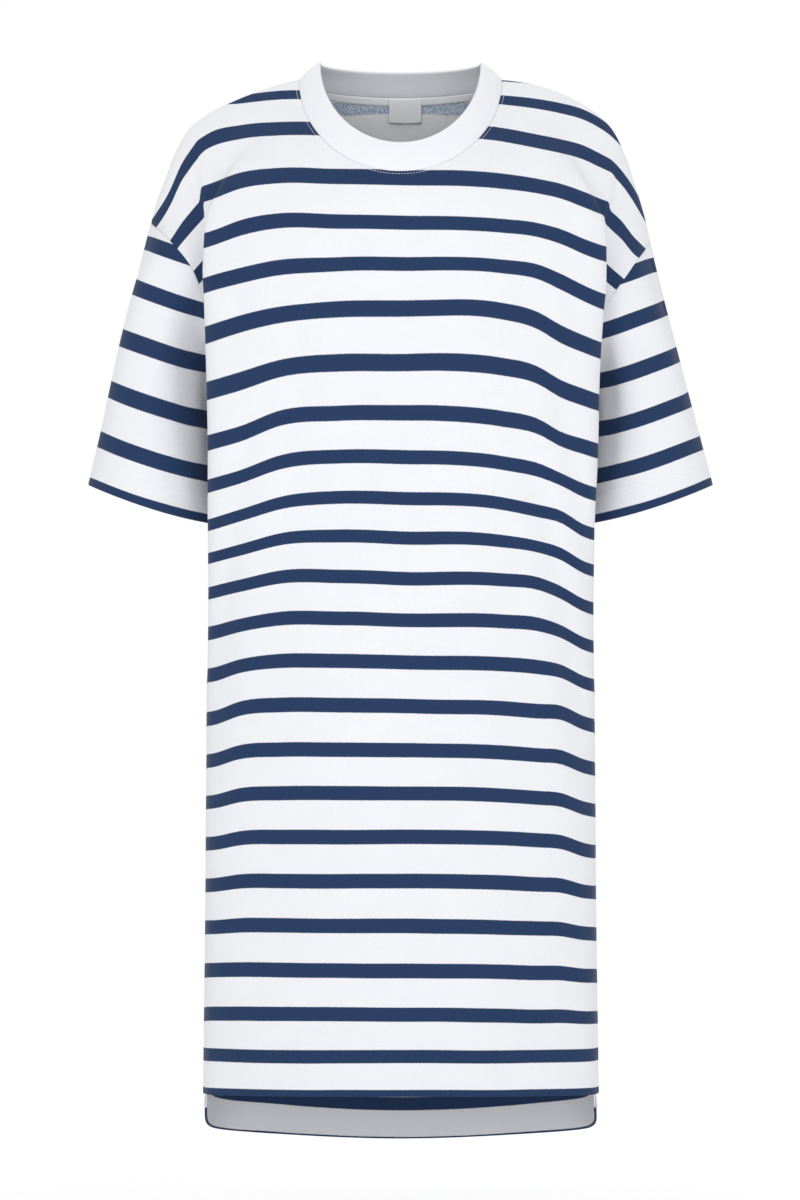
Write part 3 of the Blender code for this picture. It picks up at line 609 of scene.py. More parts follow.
def besideFold(z, u):
    # How far past the fold's edge a point is, in turns of the fold: below -0.5 it is in front of the fold,
    # and above 0.5 beyond it.
    table = np.array(armFold)[::-1]
    right, left, turn = (np.interp(z, table[:, 0], table[:, k]) for k in (1, 2, 3))
    return (np.abs(u)[None] - np.where(u[None] < 0, right, left)) / turn, turn


def lapPush(grid, u):
    # The fold's upper end, where the cloth laps over: it stands out before the edge and drops away past it.
    z = grid[..., 2]
    off, turn = besideFold(z, u)
    low, full, fade, end = armLap["heights"]
    strength = smooth((z - low) / (full - low)) * (1 - smooth((z - fade) / (end - fade)))
    reach = np.exp(-np.abs(off) * turn / armLap["reach"])
    return armLap["depth"] * strength * reach * (2 * smooth(off + 0.5) - 1)


def dropTable(rows, places, x, limits):
    # Drops at every x: one column for each listed stripe number, a smooth curve through the places.
    tables = np.array([row for _, row in rows])[::-1]
    return np.array([t for t, _ in rows], float)[::-1], spline(places, tables.T, np.clip(x, *limits))


def dropAt(t, numbers, columns):
    # The drop of stripe t at each point, straight between the listed stripe numbers.
    low = np.clip(np.searchsorted(numbers, t) - 1, 0, len(numbers) - 2)
    f = np.clip((t - numbers[low]) / (numbers[low + 1] - numbers[low]), 0, 1)
    line = np.arange(len(t))
    return columns[line, low] * (1 - f) + columns[line, low + 1] * f


def frontStripe(grid, u):
    # The stripe number t at each point solves height + drop(across, t) = middle height of t. Each round
    # moves t half of the way to what its drop gives.
    s = stripes
    scale = s["eyeDistance"] / (s["eyeDistance"] + grid[..., 1])
    x = (grid[..., 0] * scale).ravel()
    z = (s["eyeHeight"] + (grid[..., 2] - s["eyeHeight"]) * scale).ravel()
    heights = np.array(frontHeights)
    fineT = np.linspace(heights[0, 0], heights[-1, 0], s["steps"])
    fineZ = spline(heights[:, 0], heights[:, 1], fineT)
    beyond = smooth(besideFold(grid[..., 2], u)[0] + 0.5).ravel()
    inFront = dropTable(frontDrops, dropPlaces, x, (dropPlaces[0], dropPlaces[-1]))
    side = np.where(x < 0, np.minimum(x, rightPlaces[-1]), np.maximum(x, leftPlaces[0]))
    byArm = dropTable(armDrops, rightPlaces + leftPlaces, side, (rightPlaces[0], leftPlaces[-1]))
    t = np.interp(z, fineZ, fineT)
    for _ in range(s["rounds"]):
        drop = dropAt(t, *inFront) * (1 - beyond) + dropAt(t, *byArm) * beyond
        t = 0.5 * t + 0.5 * np.interp(z + drop, fineZ, fineT)
    return t.reshape(grid.shape[:2])


def backStripe(grid, u, v, frontEdge):
    # Level lines down the middle of the back, bent by u squared to meet the front's stripes at each side,
    # and by a growing twist below to keep the fold of the longer hem on one stripe. frontEdge has the
    # front's numbers at each side. Along both shoulders the back takes those of side 1, whose stripes are
    # the more regular.
    s = stripes
    number, height = s["backNeck"]
    pitch = (height - cut["backHem"][1]) / (number - s["backFold"])
    level = number + (grid[..., 2] - height) / pitch
    t = level.copy()
    for side, column in sideColumns:
        edgeZ = grid[:, column, 2]
        joined = smooth((v - cut["tip"]) / (cut["underarm"] - cut["tip"]))
        miss = frontEdge[1] * (1 - joined) + frontEdge[side] * joined - level[:, column]
        f = np.clip((s["backTwistTop"] - edgeZ) / (s["backTwistTop"] - cut["backHem"][0]), 0, 1)
        keep = np.clip((cut["hem"] - v) / s["backFree"], 0, 1)
        miss = np.where(edgeZ > s["backTwistTop"], miss, miss * keep - s["backTwist"] * f**2)
        t += np.where(np.sign(u) == side, u**2, 0.0)[None] * miss[:, None]
    return t


def foldStripe(t, hemLength, fold, pitch, follow):
    # Beside a hem's fold the stripes run parallel to it, a pitch apart, and further up fade into the others.
    full, fade = follow
    near = 1 - smooth((hemLength - full) / fade)
    return t * (1 - near) + (fold + hemLength / pitch) * near


def faceWalls(hemLength, side, hemDepth):
    # The wall's thickness: thin cloth, thicker over the turned-up hem and the seam allowances.
    g = panelGrid
    step = g["stepWidth"]
    hem = smooth((hemDepth + step / 2 - hemLength) / step)
    wall = g["wall"] + (g["hemWall"] - g["wall"]) * hem
    allowance = smooth((g["allowance"] + step / 2 - side) / step) * (1 - hem)
    return wall + (g["allowanceWall"] - g["wall"]) * allowance


def seamRoll(distance):
    # How deep a face rounds in beside a seam.
    g = panelGrid
    return rollIn(distance, g["seamRoll"], g["allowanceWall"] * g["seamDip"])


def hemRoll(hemLength):
    # How deep a face rounds in beside a hem's fold.
    g = panelGrid
    return rollIn(hemLength, g["foldRoll"], g["hemWall"] * g["edgeDip"])


def nearSeam(distance):
    # 1 at a seam and 0 from the set reach on.
    return (1 - smooth(distance / panelGrid["seamReach"]))[..., None]


def finishPiece(grid, normal, wall, rolls):
    # The two faces of a wall: the grid and the grid moved in by the wall, both rounding in by every edge.
    roll = np.minimum(np.maximum.reduce(rolls), wall * panelGrid["edgeDip"])[..., None]
    return grid - normal * roll, grid - normal * (wall[..., None] - roll)


def faceMiddles(grid):
    # The mean of each face's first and third corner.
    return (grid[:-1, :-1] + grid[1:, 1:]) / 2


def makePanel(panel, u, dense, seamNormal, neckNormal, denseStripe):
    # A panel: fine rows, one shared direction at each seam, walls, and stripes that turn back inside the
    # hem. Gives the piece, its outer face and the directions that the face looks in.
    g, fold = panelGrid, stripes[panel + "Fold"]
    wanted, reach, hemLength = panelRows(dense)
    grid = resample(dense, reach, wanted)
    t = resample(denseStripe[..., None], reach, wanted)[..., 0]
    middlePitch, sidePitch = stripes[panel + "Pitch"]
    t = foldStripe(t, hemLength, fold, middlePitch + (sidePitch - middlePitch) * u**2, stripes["hemFollow"])
    normal = gridNormals(grid, False) * (1 if panel == "front" else -1)
    side, across = edgeLength(grid)
    right, left = (resample(seamNormal[s][:, None], reach[:, [c]], wanted[:, [c]]) for s, c in sideColumns)
    near, nearNeck = nearSeam(side), nearSeam(wanted)
    normal = unit(normal * (1 - near) + np.where((u > 0)[None, :, None], left, right) * near)
    normal = unit(normal * (1 - nearNeck) + neckNormal[None] * nearNeck)
    wall = faceWalls(hemLength, np.minimum(side, wanted), g["hemDepth"])
    outer, inner = finishPiece(grid, normal, wall, [seamRoll(side), seamRoll(wanted), hemRoll(hemLength)])
    tInner = np.where(hemLength < g["hemDepth"], 2 * fold - t, t)
    layers = [outer, inner, np.stack([across, wanted], axis=-1) * mm, t, tInner, hemLength, wanted, normal]
    if panel == "back":
        layers = [a[:, ::-1] for a in layers]
    outer, inner, places, t, tInner, hemLength, wanted, normal = layers
    inside = np.where(faceMiddles(hemLength) < g["hemDepth"], 0, 1)
    inside = np.where(faceMiddles(wanted) < g["allowance"] + g["stepWidth"] / 2, 2, inside)
    cloths = [jerseyFace, jerseyReverse, neckTape]
    mesh = shellMesh(panel, outer, inner, False, places, (t, tInner), inside, cloths)
    return addPiece(panel + "Panel", mesh, panel), outer, normal


def armRing(side, front, back, rows):
    # The armhole as one ring of points: from the tip down the front to the underarm, and up the back.
    column = -1 if side > 0 else 0
    return ringOf(front[rows, column], back[rows, column])


def leaveDirections(side, count):
    # How the sleeve leaves the armhole: along the panel and square to the seam, worked out on the solids'
    # own rows and columns, then smoothed to count lines.
    v, u = np.arange(cut["hem"] + 1), bothHalves(crowdedPlaces(solidGrid, 1))
    front, back = panelSurface("front", u, v), panelSurface("back", u, v)
    rows, under = slice(cut["tip"], cut["underarm"] + 1), cut["underarm"] - cut["tip"]
    frontN, backN = gridNormals(front, False), -gridNormals(back, False)
    ring, normal = armRing(side, front, back, rows), armRing(side, frontN, backN, rows)
    column = -1 if side > 0 else 0
    normal[0] = frontN[cut["tip"], column] + backN[cut["tip"], column]
    normal[under] = frontN[cut["underarm"], column] + backN[cut["underarm"], column]
    tangent = unit(np.roll(ring, -1, axis=0) - np.roll(ring, 1, axis=0))
    leave = unit(np.cross(tangent, unit(normal)))
    beside = -2 if side > 0 else 1
    inward = ringOf(front[rows, beside], back[rows, beside]) - ring
    leave *= -np.sign(np.sum(leave * inward, axis=1, keepdims=True))
    many, past = len(leave), 2    # the smooth curve runs past its ends, round the ring
    around = np.arange(-past, many + past + 1)
    return unit(spline(around, leave[around % many], np.arange(count) * many / count))


def sleeveSurface(side, ring, w):
    # Each line is a cubic from the armhole, along the panel, to the cuff's ellipse, along the sleeve.
    count = len(ring)
    outer, inner = np.array(cuff["outer"]) * (side, 1, 1), np.array(cuff["inner"]) * (side, 1, 1)
    middle = (outer + inner) / 2
    turn = 2 * math.pi * np.arange(count) / count
    hem = (middle + np.cos(turn)[:, None] * (outer - middle)
           + np.sin(turn)[:, None] * np.array([0.0, -cuff["depth"], 0.0]))
    hem[:, 2] -= cuff["droop"] * np.sin(turn) ** 2
    fall = unit(outer - ring[0])
    leave = leaveDirections(side, count)
    pull = cuff["pull"] * np.linalg.norm(hem - ring, axis=1, keepdims=True)
    grid = cubic(w[:, None, None], ring, pull * leave, hem, pull * fall)
    up = unit(np.cross(np.array([0.0, 1.0, 0.0]), inner - outer) * side)
    up = up * np.sign(up[2])
    above = (grid - middle) @ up + cuff["droop"] * np.sin(turn)[None] ** 2 * up[2]
    return grid, above, turn


sleeveStripes = {
    # stripe number, length up from the fold of the hem, on the left sleeve (1) and the right one (-1)
    1: [(-1, -39.0), (-0.017, 0.0), (1, 40.0), (2, 80.3), (3, 122.3), (4, 165.6), (5, 206.0), (6, 247.0),
        (7, 288.0)],
    -1: [(-1, -39.0), (-0.017, 0.0), (1, 42.5), (2, 89.0), (3, 136.8), (4, 183.6), (5, 224.8), (6, 264.0),
         (7, 303.0)],
}
creaseRim = {"height": 0.4, "place": 2}    # a low rim this many widths beside a crease
sleeveCreases = [
    # side, turn in degrees from the outer edge (front positive), top and bottom along the sleeve, depth,
    # width and slant in degrees
    (1, 118, 0.05, 0.80, 2.4, 15, 26), (1, 72, 0.0, 0.55, 1.2, 14, -14), (1, 150, 0.25, 0.95, 1.6, 12, 10),
    (1, -110, 0.05, 0.75, 2.4, 16, -24), (1, -62, 0.1, 0.6, 1.3, 15, 12), (1, -148, 0.3, 0.95, 1.4, 12, -8),
    (-1, 112, 0.05, 0.72, 2.2, 15, 24), (-1, 64, 0.05, 0.5, 1.1, 14, -12), (-1, 152, 0.2, 0.9, 1.7, 12, 8),
    (-1, -116, 0.0, 0.8, 2.6, 16, -22), (-1, -70, 0.15, 0.65, 1.2, 15, 12),
]


def sleeveDip(side, turn, w):
    # Creases down the sleeve: a bell across, in degrees of turn, less a lower bell beside it, times a
    # rounded rise and fall along it.
    degrees = (np.degrees(turn)[None] + 180) % 360 - 180
    dip = np.zeros((len(w), len(turn)))
    for where, at, top, bottom, depth, width, slant in sleeveCreases:
        if where != side:
            continue
        f = (w[:, None] - top) / (bottom - top)
        off = degrees - at - slant * (f - 0.5)
        rim = creaseRim["height"] * np.exp(-(((off - creaseRim["place"] * width) / width) ** 2))
        dip += depth * riseAndFall(f) * (np.exp(-((off / width) ** 2)) - rim)
    return dip


def makeSleeve(side, front, back, seamIn):
    # A sleeve: the tube resampled to fine rows from the armhole to its hem, with creases, walls and stripes.
    g, word = sleeveGrid, "left" if side > 0 else "right"
    ring = armRing(side, front, back, slice(*armRows))
    w = np.linspace(0, 1, g["denseRows"])
    dense, above, turn = sleeveSurface(side, ring, w)
    dense = dense - gridNormals(dense, True) * -side * sleeveDip(side, turn, w)[..., None]
    reach = reachDown(dense)
    wanted = rowsDown(reach[-1], g["topRows"], g["hemRows"], g["rowSpacing"])
    grid = resample(dense, reach, wanted)
    above = resample(above[..., None], reach, wanted)[..., 0]
    hemLength = reach[-1][None] - wanted
    normal, near = gridNormals(grid, True) * -side, nearSeam(wanted)
    normal = unit(normal * (1 - near) + seamIn[None] * near)
    table, fold = np.array(sleeveStripes[side]), stripes["frontFold"]
    t = spline(table[:, 1], table[:, 0], above)
    t = foldStripe(t, hemLength, fold, stripes["cuffPitch"], stripes["cuffFollow"])
    wall = faceWalls(hemLength, wanted, g["hemDepth"])
    outer, inner = finishPiece(grid, normal, wall, [seamRoll(wanted), hemRoll(hemLength)])
    around = np.linalg.norm(np.roll(grid, -1, axis=1) - grid, axis=-1)
    around = np.concatenate([np.zeros((len(grid), 1)), np.cumsum(around, axis=1)], axis=1)
    if side > 0:
        outer, inner, t, hemLength, normal, around, wanted = (
            a[:, ::-1] for a in (outer, inner, t, hemLength, normal, around, wanted))
    wrapped, down = (np.concatenate([a, a[:, :1]], axis=1) for a in (hemLength, wanted))
    places = np.stack([around, down], axis=-1) * mm
    tInner = np.where(hemLength < g["hemDepth"], 2 * fold - t, t)
    inside = np.where(faceMiddles(wrapped) < g["hemDepth"], 0, 1)
    name, cloths = f"sleeve_{word}", [jerseyFace, jerseyReverse]
    mesh = shellMesh(name, outer, inner, True, places, (t, tInner), inside, cloths)
    return addPiece(f"{word}Sleeve", mesh, name), outer, normal


def bandSurface(u, frontRow, backRow):
    # The neckband: a ring from its folded top edge to the neck seam, rounding out a little midway.
    outer = ringOf(frontRow, backRow)
    inner = ringOf(neckRing(neckEdge, "front", u), neckRing(neckEdge, "back", u))
    w = (np.array(band["rows"]) / band["rows"][-1])[:, None, None]
    grid = (1 - w) * inner + w * outer
    return grid + gridNormals(grid, True) * band["crown"] * np.sin(math.pi * w)


def makeBand(grid, seamIn):
    # The band's walls: doubled rib, rounded at its fold, rolling in at the seam as the panels do.
    normal = gridNormals(grid, True)
    fromTop = np.repeat(np.array(band["rows"])[:, None], grid.shape[1], axis=1)
    fromSeam = band["rows"][-1] - fromTop
    near = nearSeam(fromSeam)
    normal = unit(normal * (1 - near) + seamIn[None] * near)
    wall = band["wall"] - (band["wall"] - panelGrid["allowanceWall"]) * near[..., 0]
    topRoll = rollIn(fromTop, band["topRoll"], band["wall"] * panelGrid["edgeDip"])
    outer, inner = finishPiece(grid, normal, wall, [topRoll, seamRoll(fromSeam)])
    step = np.linalg.norm(np.roll(grid, -1, axis=1) - grid, axis=-1).mean(axis=0)
    around = np.concatenate([[0.0], np.cumsum(step)])
    places = np.stack(np.broadcast_arrays(around[None], np.array(band["rows"])[:, None]), axis=-1) * mm
    inside = np.zeros((grid.shape[0] - 1, grid.shape[1]), int)
    mesh = shellMesh("neckband", outer, inner, True, places, None, inside, [ribCloth])
    return addPiece("neckBand", mesh, "neckband")


label = {
    "width": 31.0, "height": 23.0, "columns": 40, "rows": 30,
    "drop": 0.6, "stand": 2.5, "aside": 4.2,    # below the seam, in from the back, off the middle
    "wall": 0.7, "edgeRoll": 0.6, "lift": 0.5,
    "ripple": (0.6, 0.4, 2.2, 0.7),    # the lift across: mean, swing, turn and start
    "stations": 3, "denseRows": 61,    # how much of the back it is laid on
}


def makeLabel():
    # A blank ribbon label: the back's own surface moved in past its wall, its free lower edge lifting a bit.
    half = label["width"] / 2
    u = np.linspace(-1, 1, label["columns"] + 1) * half / neckSeam["halfWidth"] * 2 / math.pi
    surface = panelSurface("back", -u, np.linspace(0, label["stations"], label["denseRows"]))
    down = label["drop"] + np.linspace(0, label["height"], label["rows"] + 1)
    wanted = np.repeat(down[:, None], len(u), 1)
    grid = resample(surface, reachDown(surface), wanted)
    x = np.linspace(-half, half, len(u))
    grid[..., 0] = label["aside"] - x[None]
    normal = gridNormals(grid, False)
    f = (wanted - label["drop"]) / label["height"]
    mean, swing, turn, start = label["ripple"]
    lift = label["lift"] * f**2 * (mean + swing * np.cos(x / half * turn + start))[None]
    face = grid - normal * (label["stand"] + lift)[..., None]
    side = np.minimum(half - np.abs(x)[None], label["height"] * np.minimum(f, 1 - f))
    roll = rollIn(side, label["edgeRoll"], label["wall"] * panelGrid["edgeDip"])[..., None]
    outer, inner = face - normal * roll, face - normal * (label["wall"] - roll)
    places = np.stack(np.broadcast_arrays(x[None], wanted), axis=-1) * mm
    inside = np.zeros((len(grid) - 1, len(u) - 1), int)
    mesh = shellMesh("label", outer, inner, False, places, None, inside, [ribbon])
    return addPiece("backLabel", mesh, "label")


thread = {
    "thick": 0.42, "sides": 5,
    "rings": (-0.5, -0.42, -0.2, 0.2, 0.42, 0.5),    # along a stitch, by its length
    "swell": (0.15, 0.7, 1.0, 1.0, 0.7, 0.15),    # how thick each ring is, by the thread's thickness
    "sink": 0.12, "dive": 0.25,    # how deep a stitch lies, and its ends beside that
}


def stitchRow(name, path, normal, pitch, length, material, closed=False):
    # Short rounded stitches laid end to end along a path on the cloth. Each is a small tube of rings that
    # stand square to the path, and dips into the cloth at both ends. A closed path joins its last point to
    # its first.
    if closed:
        path, normal = np.concatenate([path, path[:1]]), np.concatenate([normal, normal[:1]])
    reach = reachDown(path)
    count = int(reach[-1] / pitch)
    at = (np.arange(count) + 0.5) * reach[-1] / count
    rings, swell = np.array(thread["rings"]), np.array(thread["swell"])
    where = at[:, None] + rings[None] * length

    def readAlong(line):
        return np.stack([np.interp(where, reach, line[:, k]) for k in range(3)], -1)

    spots, up = readAlong(path), unit(readAlong(normal))
    tangent = unit(spots[:, -1] - spots[:, 0])[:, None]
    sideways = unit(np.cross(up, tangent))
    sides, many = thread["sides"], len(rings)
    turn = 2 * math.pi * np.arange(sides) / sides
    radius = thread["thick"] / 2 * swell
    middle = spots + up * (radius - thread["sink"] - thread["dive"] * (1 - swell))[None, :, None]
    points = (middle[:, :, None] + sideways[:, :, None] * (np.cos(turn) * radius[:, None])[None, :, :, None]
              + up[:, :, None] * (np.sin(turn) * radius[:, None])[None, :, :, None])
    corner = np.arange(sides)
    first = np.arange(many - 1)[:, None] * sides
    a, b = first + corner[None], first + (corner[None] + 1) % sides
    tube = np.stack([a, b, b + sides, a + sides], axis=-1).reshape(-1, 4)
    caps = np.stack([corner[::-1], corner + sides * (many - 1)])
    shift = (np.arange(count) * sides * many)[:, None, None]
    faces, ends = (tube[None] + shift).reshape(-1, 4), (caps[None] + shift).reshape(-1, sides)
    mesh = bpy.data.meshes.new(name)
    mesh.from_pydata((points.reshape(-1, 3) * mm).tolist(), [], faces.tolist() + ends.tolist())
    mesh.materials.append(material)
    mesh.shade_smooth()
    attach(newObject(name, mesh), "root")
    print(name, count, "stitches")


# Finishes
colours = {
    "white": (0.700, 0.708, 0.736, 1), "navy": (0.0118, 0.0315, 0.089, 1),
    # The reverse's white, the neck tape and the label ribbon are painted light: set lighter than the face's
    # white so that, in the shade inside the shirt, they show as bright as the face.
    "reverseWhitePaintedLight": (0.845, 0.853, 0.870, 1), "reverseNavy": (0.270, 0.375, 0.540, 1),
    "rib": (0.712, 0.718, 0.748, 1), "ribbon": (0.835, 0.843, 0.860, 1), "tapePaintedLight": (0.845, 0.853, 0.870, 1),
    "whiteThread": (0.83, 0.83, 0.84, 1), "navyThread": (0.0165, 0.039, 0.104, 1),
    "floor": (0.9, 0.9, 0.9, 1),
}
# Sizes of the cloth's relief, in metres
knit = {
    "wale": 0.00092, "course": 0.00066, "height": 0.00011, "ribWale": 0.0016, "ribHeight": 0.00014,
    "warp": 0.0005, "weft": 0.0004, "weaveHeight": 0.00005, "twistHeight": 0.00004,
}
cotton = {"roughness": 0.9, "sheen": 0.05, "sheenRoughness": 0.45, "specular": 0.25}
# How much darker and lighter than its colour each finish goes. Those of the rib's valleys, the weave and the
# thread's twist are painted shade that follows their relief.
tones = {
    "cloth": (0.985, 1.015), "faceYarn": (0.955, 1.03), "reverseYarn": (0.94, 1.03),
    "ribValleyPaintedShade": (0.975, 1.005), "weave": (0.97, 1.02), "twist": (0.92, 1.04), "floor": (0.99, 1.01),
}
clouds = {
    # waves to the metre, detail, and the part of the noise's range that is used
    "waver": (11.0, 1.0, 0.0, 1.0), "ragged": (900.0, 1.0, 0.0, 1.0), "yarn": (1500.0, 1.0, 0.3, 0.7),
    "cloth": (26.0, 3.0, 0.25, 0.75), "rib": (30.0, 3.0, 0.25, 0.75), "flecks": (620.0, 2.0, 0.38, 0.66),
    "fuzz": (2400.0, 2.0, 0.0, 1.0), "floor": (2.0, 3.0, 0.0, 1.0),
}


def newFinish(name, roughness, sheen):
    # A matt finish: its material, its tree of nodes and its shader.
    material = bpy.data.materials.new(name)
    material.use_nodes = True
    shader = material.node_tree.nodes["Principled BSDF"]
    shader.inputs["Roughness"].default_value = roughness
    shader.inputs["Specular IOR Level"].default_value = cotton["specular"]
    shader.inputs["Sheen Weight"].default_value = sheen
    shader.inputs["Sheen Roughness"].default_value = cotton["sheenRoughness"]
    return material, material.node_tree, shader


def put(tree, kind, inputs=(), **settings):
    # Adds a node, sets its properties, and links or fills its inputs, each given as (name or number, value).
    made = tree.nodes.new(kind)
    for key, value in settings.items():
        setattr(made, key, value)
    for key, value in inputs:
        if isinstance(value, bpy.types.NodeSocket):
            tree.links.new(value, made.inputs[key])
        else:
            made.inputs[key].default_value = value
    return made


def calc(tree, operation, a, b=None, c=None):
    # A sum, product or other operation on one to three values.
    inputs = [(k, v) for k, v in enumerate((a, b, c)) if v is not None]
    return put(tree, "ShaderNodeMath", inputs, operation=operation).outputs[0]


def span(tree, value, low, high, toLow, toHigh):
    # The value moved from one range to another, and held at its ends.
    ends = [(0, value), (1, low), (2, high), (3, toLow), (4, toHigh)]
    return put(tree, "ShaderNodeMapRange", ends).outputs[0]


def cloudy(tree, name, least, most):
    # Soft noise from least to most, fixed to the piece.
    scale, detail, low, high = clouds[name]
    place = put(tree, "ShaderNodeTexCoord").outputs["Object"]
    noise = put(tree, "ShaderNodeTexNoise", [("Vector", place), ("Scale", scale), ("Detail", detail)])
    return span(tree, noise.outputs["Fac"], low, high, least, most)


def mixColour(tree, factor, a, b, blend="MIX"):
    # Colour a with b over it, by the factor.
    made = put(tree, "ShaderNodeMix", [(0, factor), (6, a), (7, b)], data_type="RGBA", blend_type=blend)
    return made.outputs[2]


def shaded(tree, shader, colour, shade):
    # Gives the shader the colour times the shade.
    grey = put(tree, "ShaderNodeCombineColor", [(0, shade), (1, shade), (2, shade)]).outputs[0]
    tree.links.new(mixColour(tree, 1.0, colour, grey, "MULTIPLY"), shader.inputs["Base Color"])


def clothPlace(tree):
    # The places across and down the cloth, in metres, from the piece's own UV map.
    cloth = put(tree, "ShaderNodeUVMap", uv_map="cloth").outputs[0]
    return put(tree, "ShaderNodeSeparateXYZ", [(0, cloth)]).outputs


def waves(tree, place, length):
    # A sine that repeats at every length.
    return calc(tree, "SINE", calc(tree, "MULTIPLY", place, 2 * math.pi / length))


def knitHeight(tree, wale, course, reverse):
    # Jersey: columns of V stitches on the face, rows of low arcs on the reverse. Each stitch is half a sine
    # down, moved by a slant across, and falls off to the valleys between the columns by a power.
    slanting, power = (0.22, 2.0) if reverse else (0.6, 5.0)
    place = clothPlace(tree)
    p = calc(tree, "FRACT", calc(tree, "DIVIDE", place[0], wale))
    leg = calc(tree, "ABSOLUTE", calc(tree, "MULTIPLY_ADD", p, 2.0, -1.0))
    slant = calc(tree, "MULTIPLY", leg, slanting)
    q = calc(tree, "FRACT", calc(tree, "ADD", calc(tree, "DIVIDE", place[1], course), slant))
    bead = calc(tree, "SINE", calc(tree, "MULTIPLY", q, math.pi))
    valley = calc(tree, "SUBTRACT", 1.0, calc(tree, "POWER", leg, power))
    return calc(tree, "MULTIPLY", bead, calc(tree, "MULTIPLY_ADD", valley, 0.6, 0.4))


def bumpUp(tree, shader, height, distance, strength=0.5):
    # Relief of the height times the distance, in metres.
    bump = put(tree, "ShaderNodeBump", [("Height", height), ("Distance", distance), ("Strength", strength)])
    tree.links.new(bump.outputs[0], shader.inputs["Normal"])


# How soft, wavy and ragged a stripe's edge is, as shares of the pitch
stripeEdge = {"blur": 0.008, "waver": 0.030, "raggedFace": 0.007, "raggedReverse": 0.025}


def stripeMask(tree, ragged):
    # 1 inside a stripe: where the stripe number, nudged by slow and fine noise, is near to a whole one.
    number = put(tree, "ShaderNodeAttribute", attribute_name="stripeNumber").outputs["Fac"]
    slow = cloudy(tree, "waver", -stripeEdge["waver"], stripeEdge["waver"])
    fine = cloudy(tree, "ragged", -ragged, ragged)
    t = calc(tree, "ADD", number, calc(tree, "ADD", slow, fine))
    off = calc(tree, "ABSOLUTE", calc(tree, "SUBTRACT", calc(tree, "FRACT", calc(tree, "ADD", t, 0.5)), 0.5))
    half, blur = stripes["share"] / 2, stripeEdge["blur"]
    return span(tree, off, half - blur, half + blur, 1.0, 0.0)


def jersey(name, white, navy, reverse):
    # Striped jersey: yarn a little uneven in tone and fuzzy fine knit relief. On the reverse the stripes
    # show through pale, with flecks of white in them.
    material, tree, shader = newFinish(name, cotton["roughness"], cotton["sheen"])
    mask = stripeMask(tree, stripeEdge["raggedReverse" if reverse else "raggedFace"])
    yarn = cloudy(tree, "yarn", *tones["reverseYarn" if reverse else "faceYarn"])
    tone = cloudy(tree, "cloth", *tones["cloth"])
    if reverse:
        navy = mixColour(tree, cloudy(tree, "flecks", 0.0, 0.75), navy, white)
    shaded(tree, shader, mixColour(tree, mask, white, navy), calc(tree, "MULTIPLY", yarn, tone))
    fuzz = cloudy(tree, "fuzz", 0.0, 0.5)
    stitches = knitHeight(tree, knit["wale"], knit["course"], reverse)
    bumpUp(tree, shader, calc(tree, "ADD", stitches, fuzz), knit["height"])
    return material


def ribbing(name, colour):
    # Fine rib: ridges across the band, each a column of knit stitches, with painted shade darkening the
    # valleys between.
    material, tree, shader = newFinish(name, cotton["roughness"], cotton["sheen"])
    ridge = calc(tree, "MULTIPLY_ADD", waves(tree, clothPlace(tree)[0], knit["ribWale"]), 0.5, 0.5)
    stitch = knitHeight(tree, knit["ribWale"] / 2, knit["course"], False)
    tone = cloudy(tree, "rib", *tones["cloth"])
    # Painted shade: the colour goes darker in the valleys between the ridges.
    valley = span(tree, ridge, 0.0, 1.0, *tones["ribValleyPaintedShade"])
    shaded(tree, shader, colour, calc(tree, "MULTIPLY", tone, valley))
    bumpUp(tree, shader, calc(tree, "ADD", ridge, calc(tree, "MULTIPLY", stitch, 0.35)), knit["ribHeight"])
    return material


def wovenRibbon(name, colour, roughness):
    # Smooth ribbon in a fine plain weave, with painted shade where its relief dips.
    material, tree, shader = newFinish(name, roughness, cotton["sheen"])
    place = clothPlace(tree)
    weave = calc(tree, "MULTIPLY", waves(tree, place[0], knit["warp"]), waves(tree, place[1], knit["weft"]))
    # Painted shade: the colour goes darker and lighter with the weave's relief.
    shaded(tree, shader, colour, span(tree, weave, -1.0, 1.0, *tones["weave"]))
    bumpUp(tree, shader, weave, knit["weaveHeight"])
    return material


def spunThread(name, colour):
    # Sewing thread: a slanting twist in relief, with painted shade in its grooves: the tone follows the
    # relief.
    material, tree, shader = newFinish(name, 0.6, 0.1)
    place = put(tree, "ShaderNodeTexCoord").outputs["Object"]
    twist = put(tree, "ShaderNodeTexWave", [("Vector", place), ("Scale", 900.0), ("Distortion", 1.5)],
                bands_direction="DIAGONAL").outputs["Fac"]
    # Painted shade: the colour goes darker in the twist's grooves and lighter on its crests.
    shaded(tree, shader, colour, span(tree, twist, 0.0, 1.0, *tones["twist"]))
    bumpUp(tree, shader, twist, knit["twistHeight"])
    return material


def paintedFloor(name, colour):
    # Plain matt paint, hardly uneven.
    material, tree, shader = newFinish(name, cotton["roughness"], 0.0)
    shaded(tree, shader, colour, cloudy(tree, "floor", *tones["floor"]))
    return material


jerseyFace = jersey("jerseyFace", colours["white"], colours["navy"], False)
# The reverse's white carries painted light, lifting the shaded inside of the shirt.
jerseyReverse = jersey("jerseyReverse", colours["reverseWhitePaintedLight"], colours["reverseNavy"], True)
ribCloth = ribbing("ribCloth", colours["rib"])
# The label ribbon and the neck tape carry the same painted light as the reverse's white.
ribbon = wovenRibbon("labelRibbon", colours["ribbon"], 0.6)
neckTape = wovenRibbon("neckTape", colours["tapePaintedLight"], 0.85)
whiteThread = spunThread("whiteThread", colours["whiteThread"])
navyThread = spunThread("navyThread", colours["navyThread"])
print("finishes made")

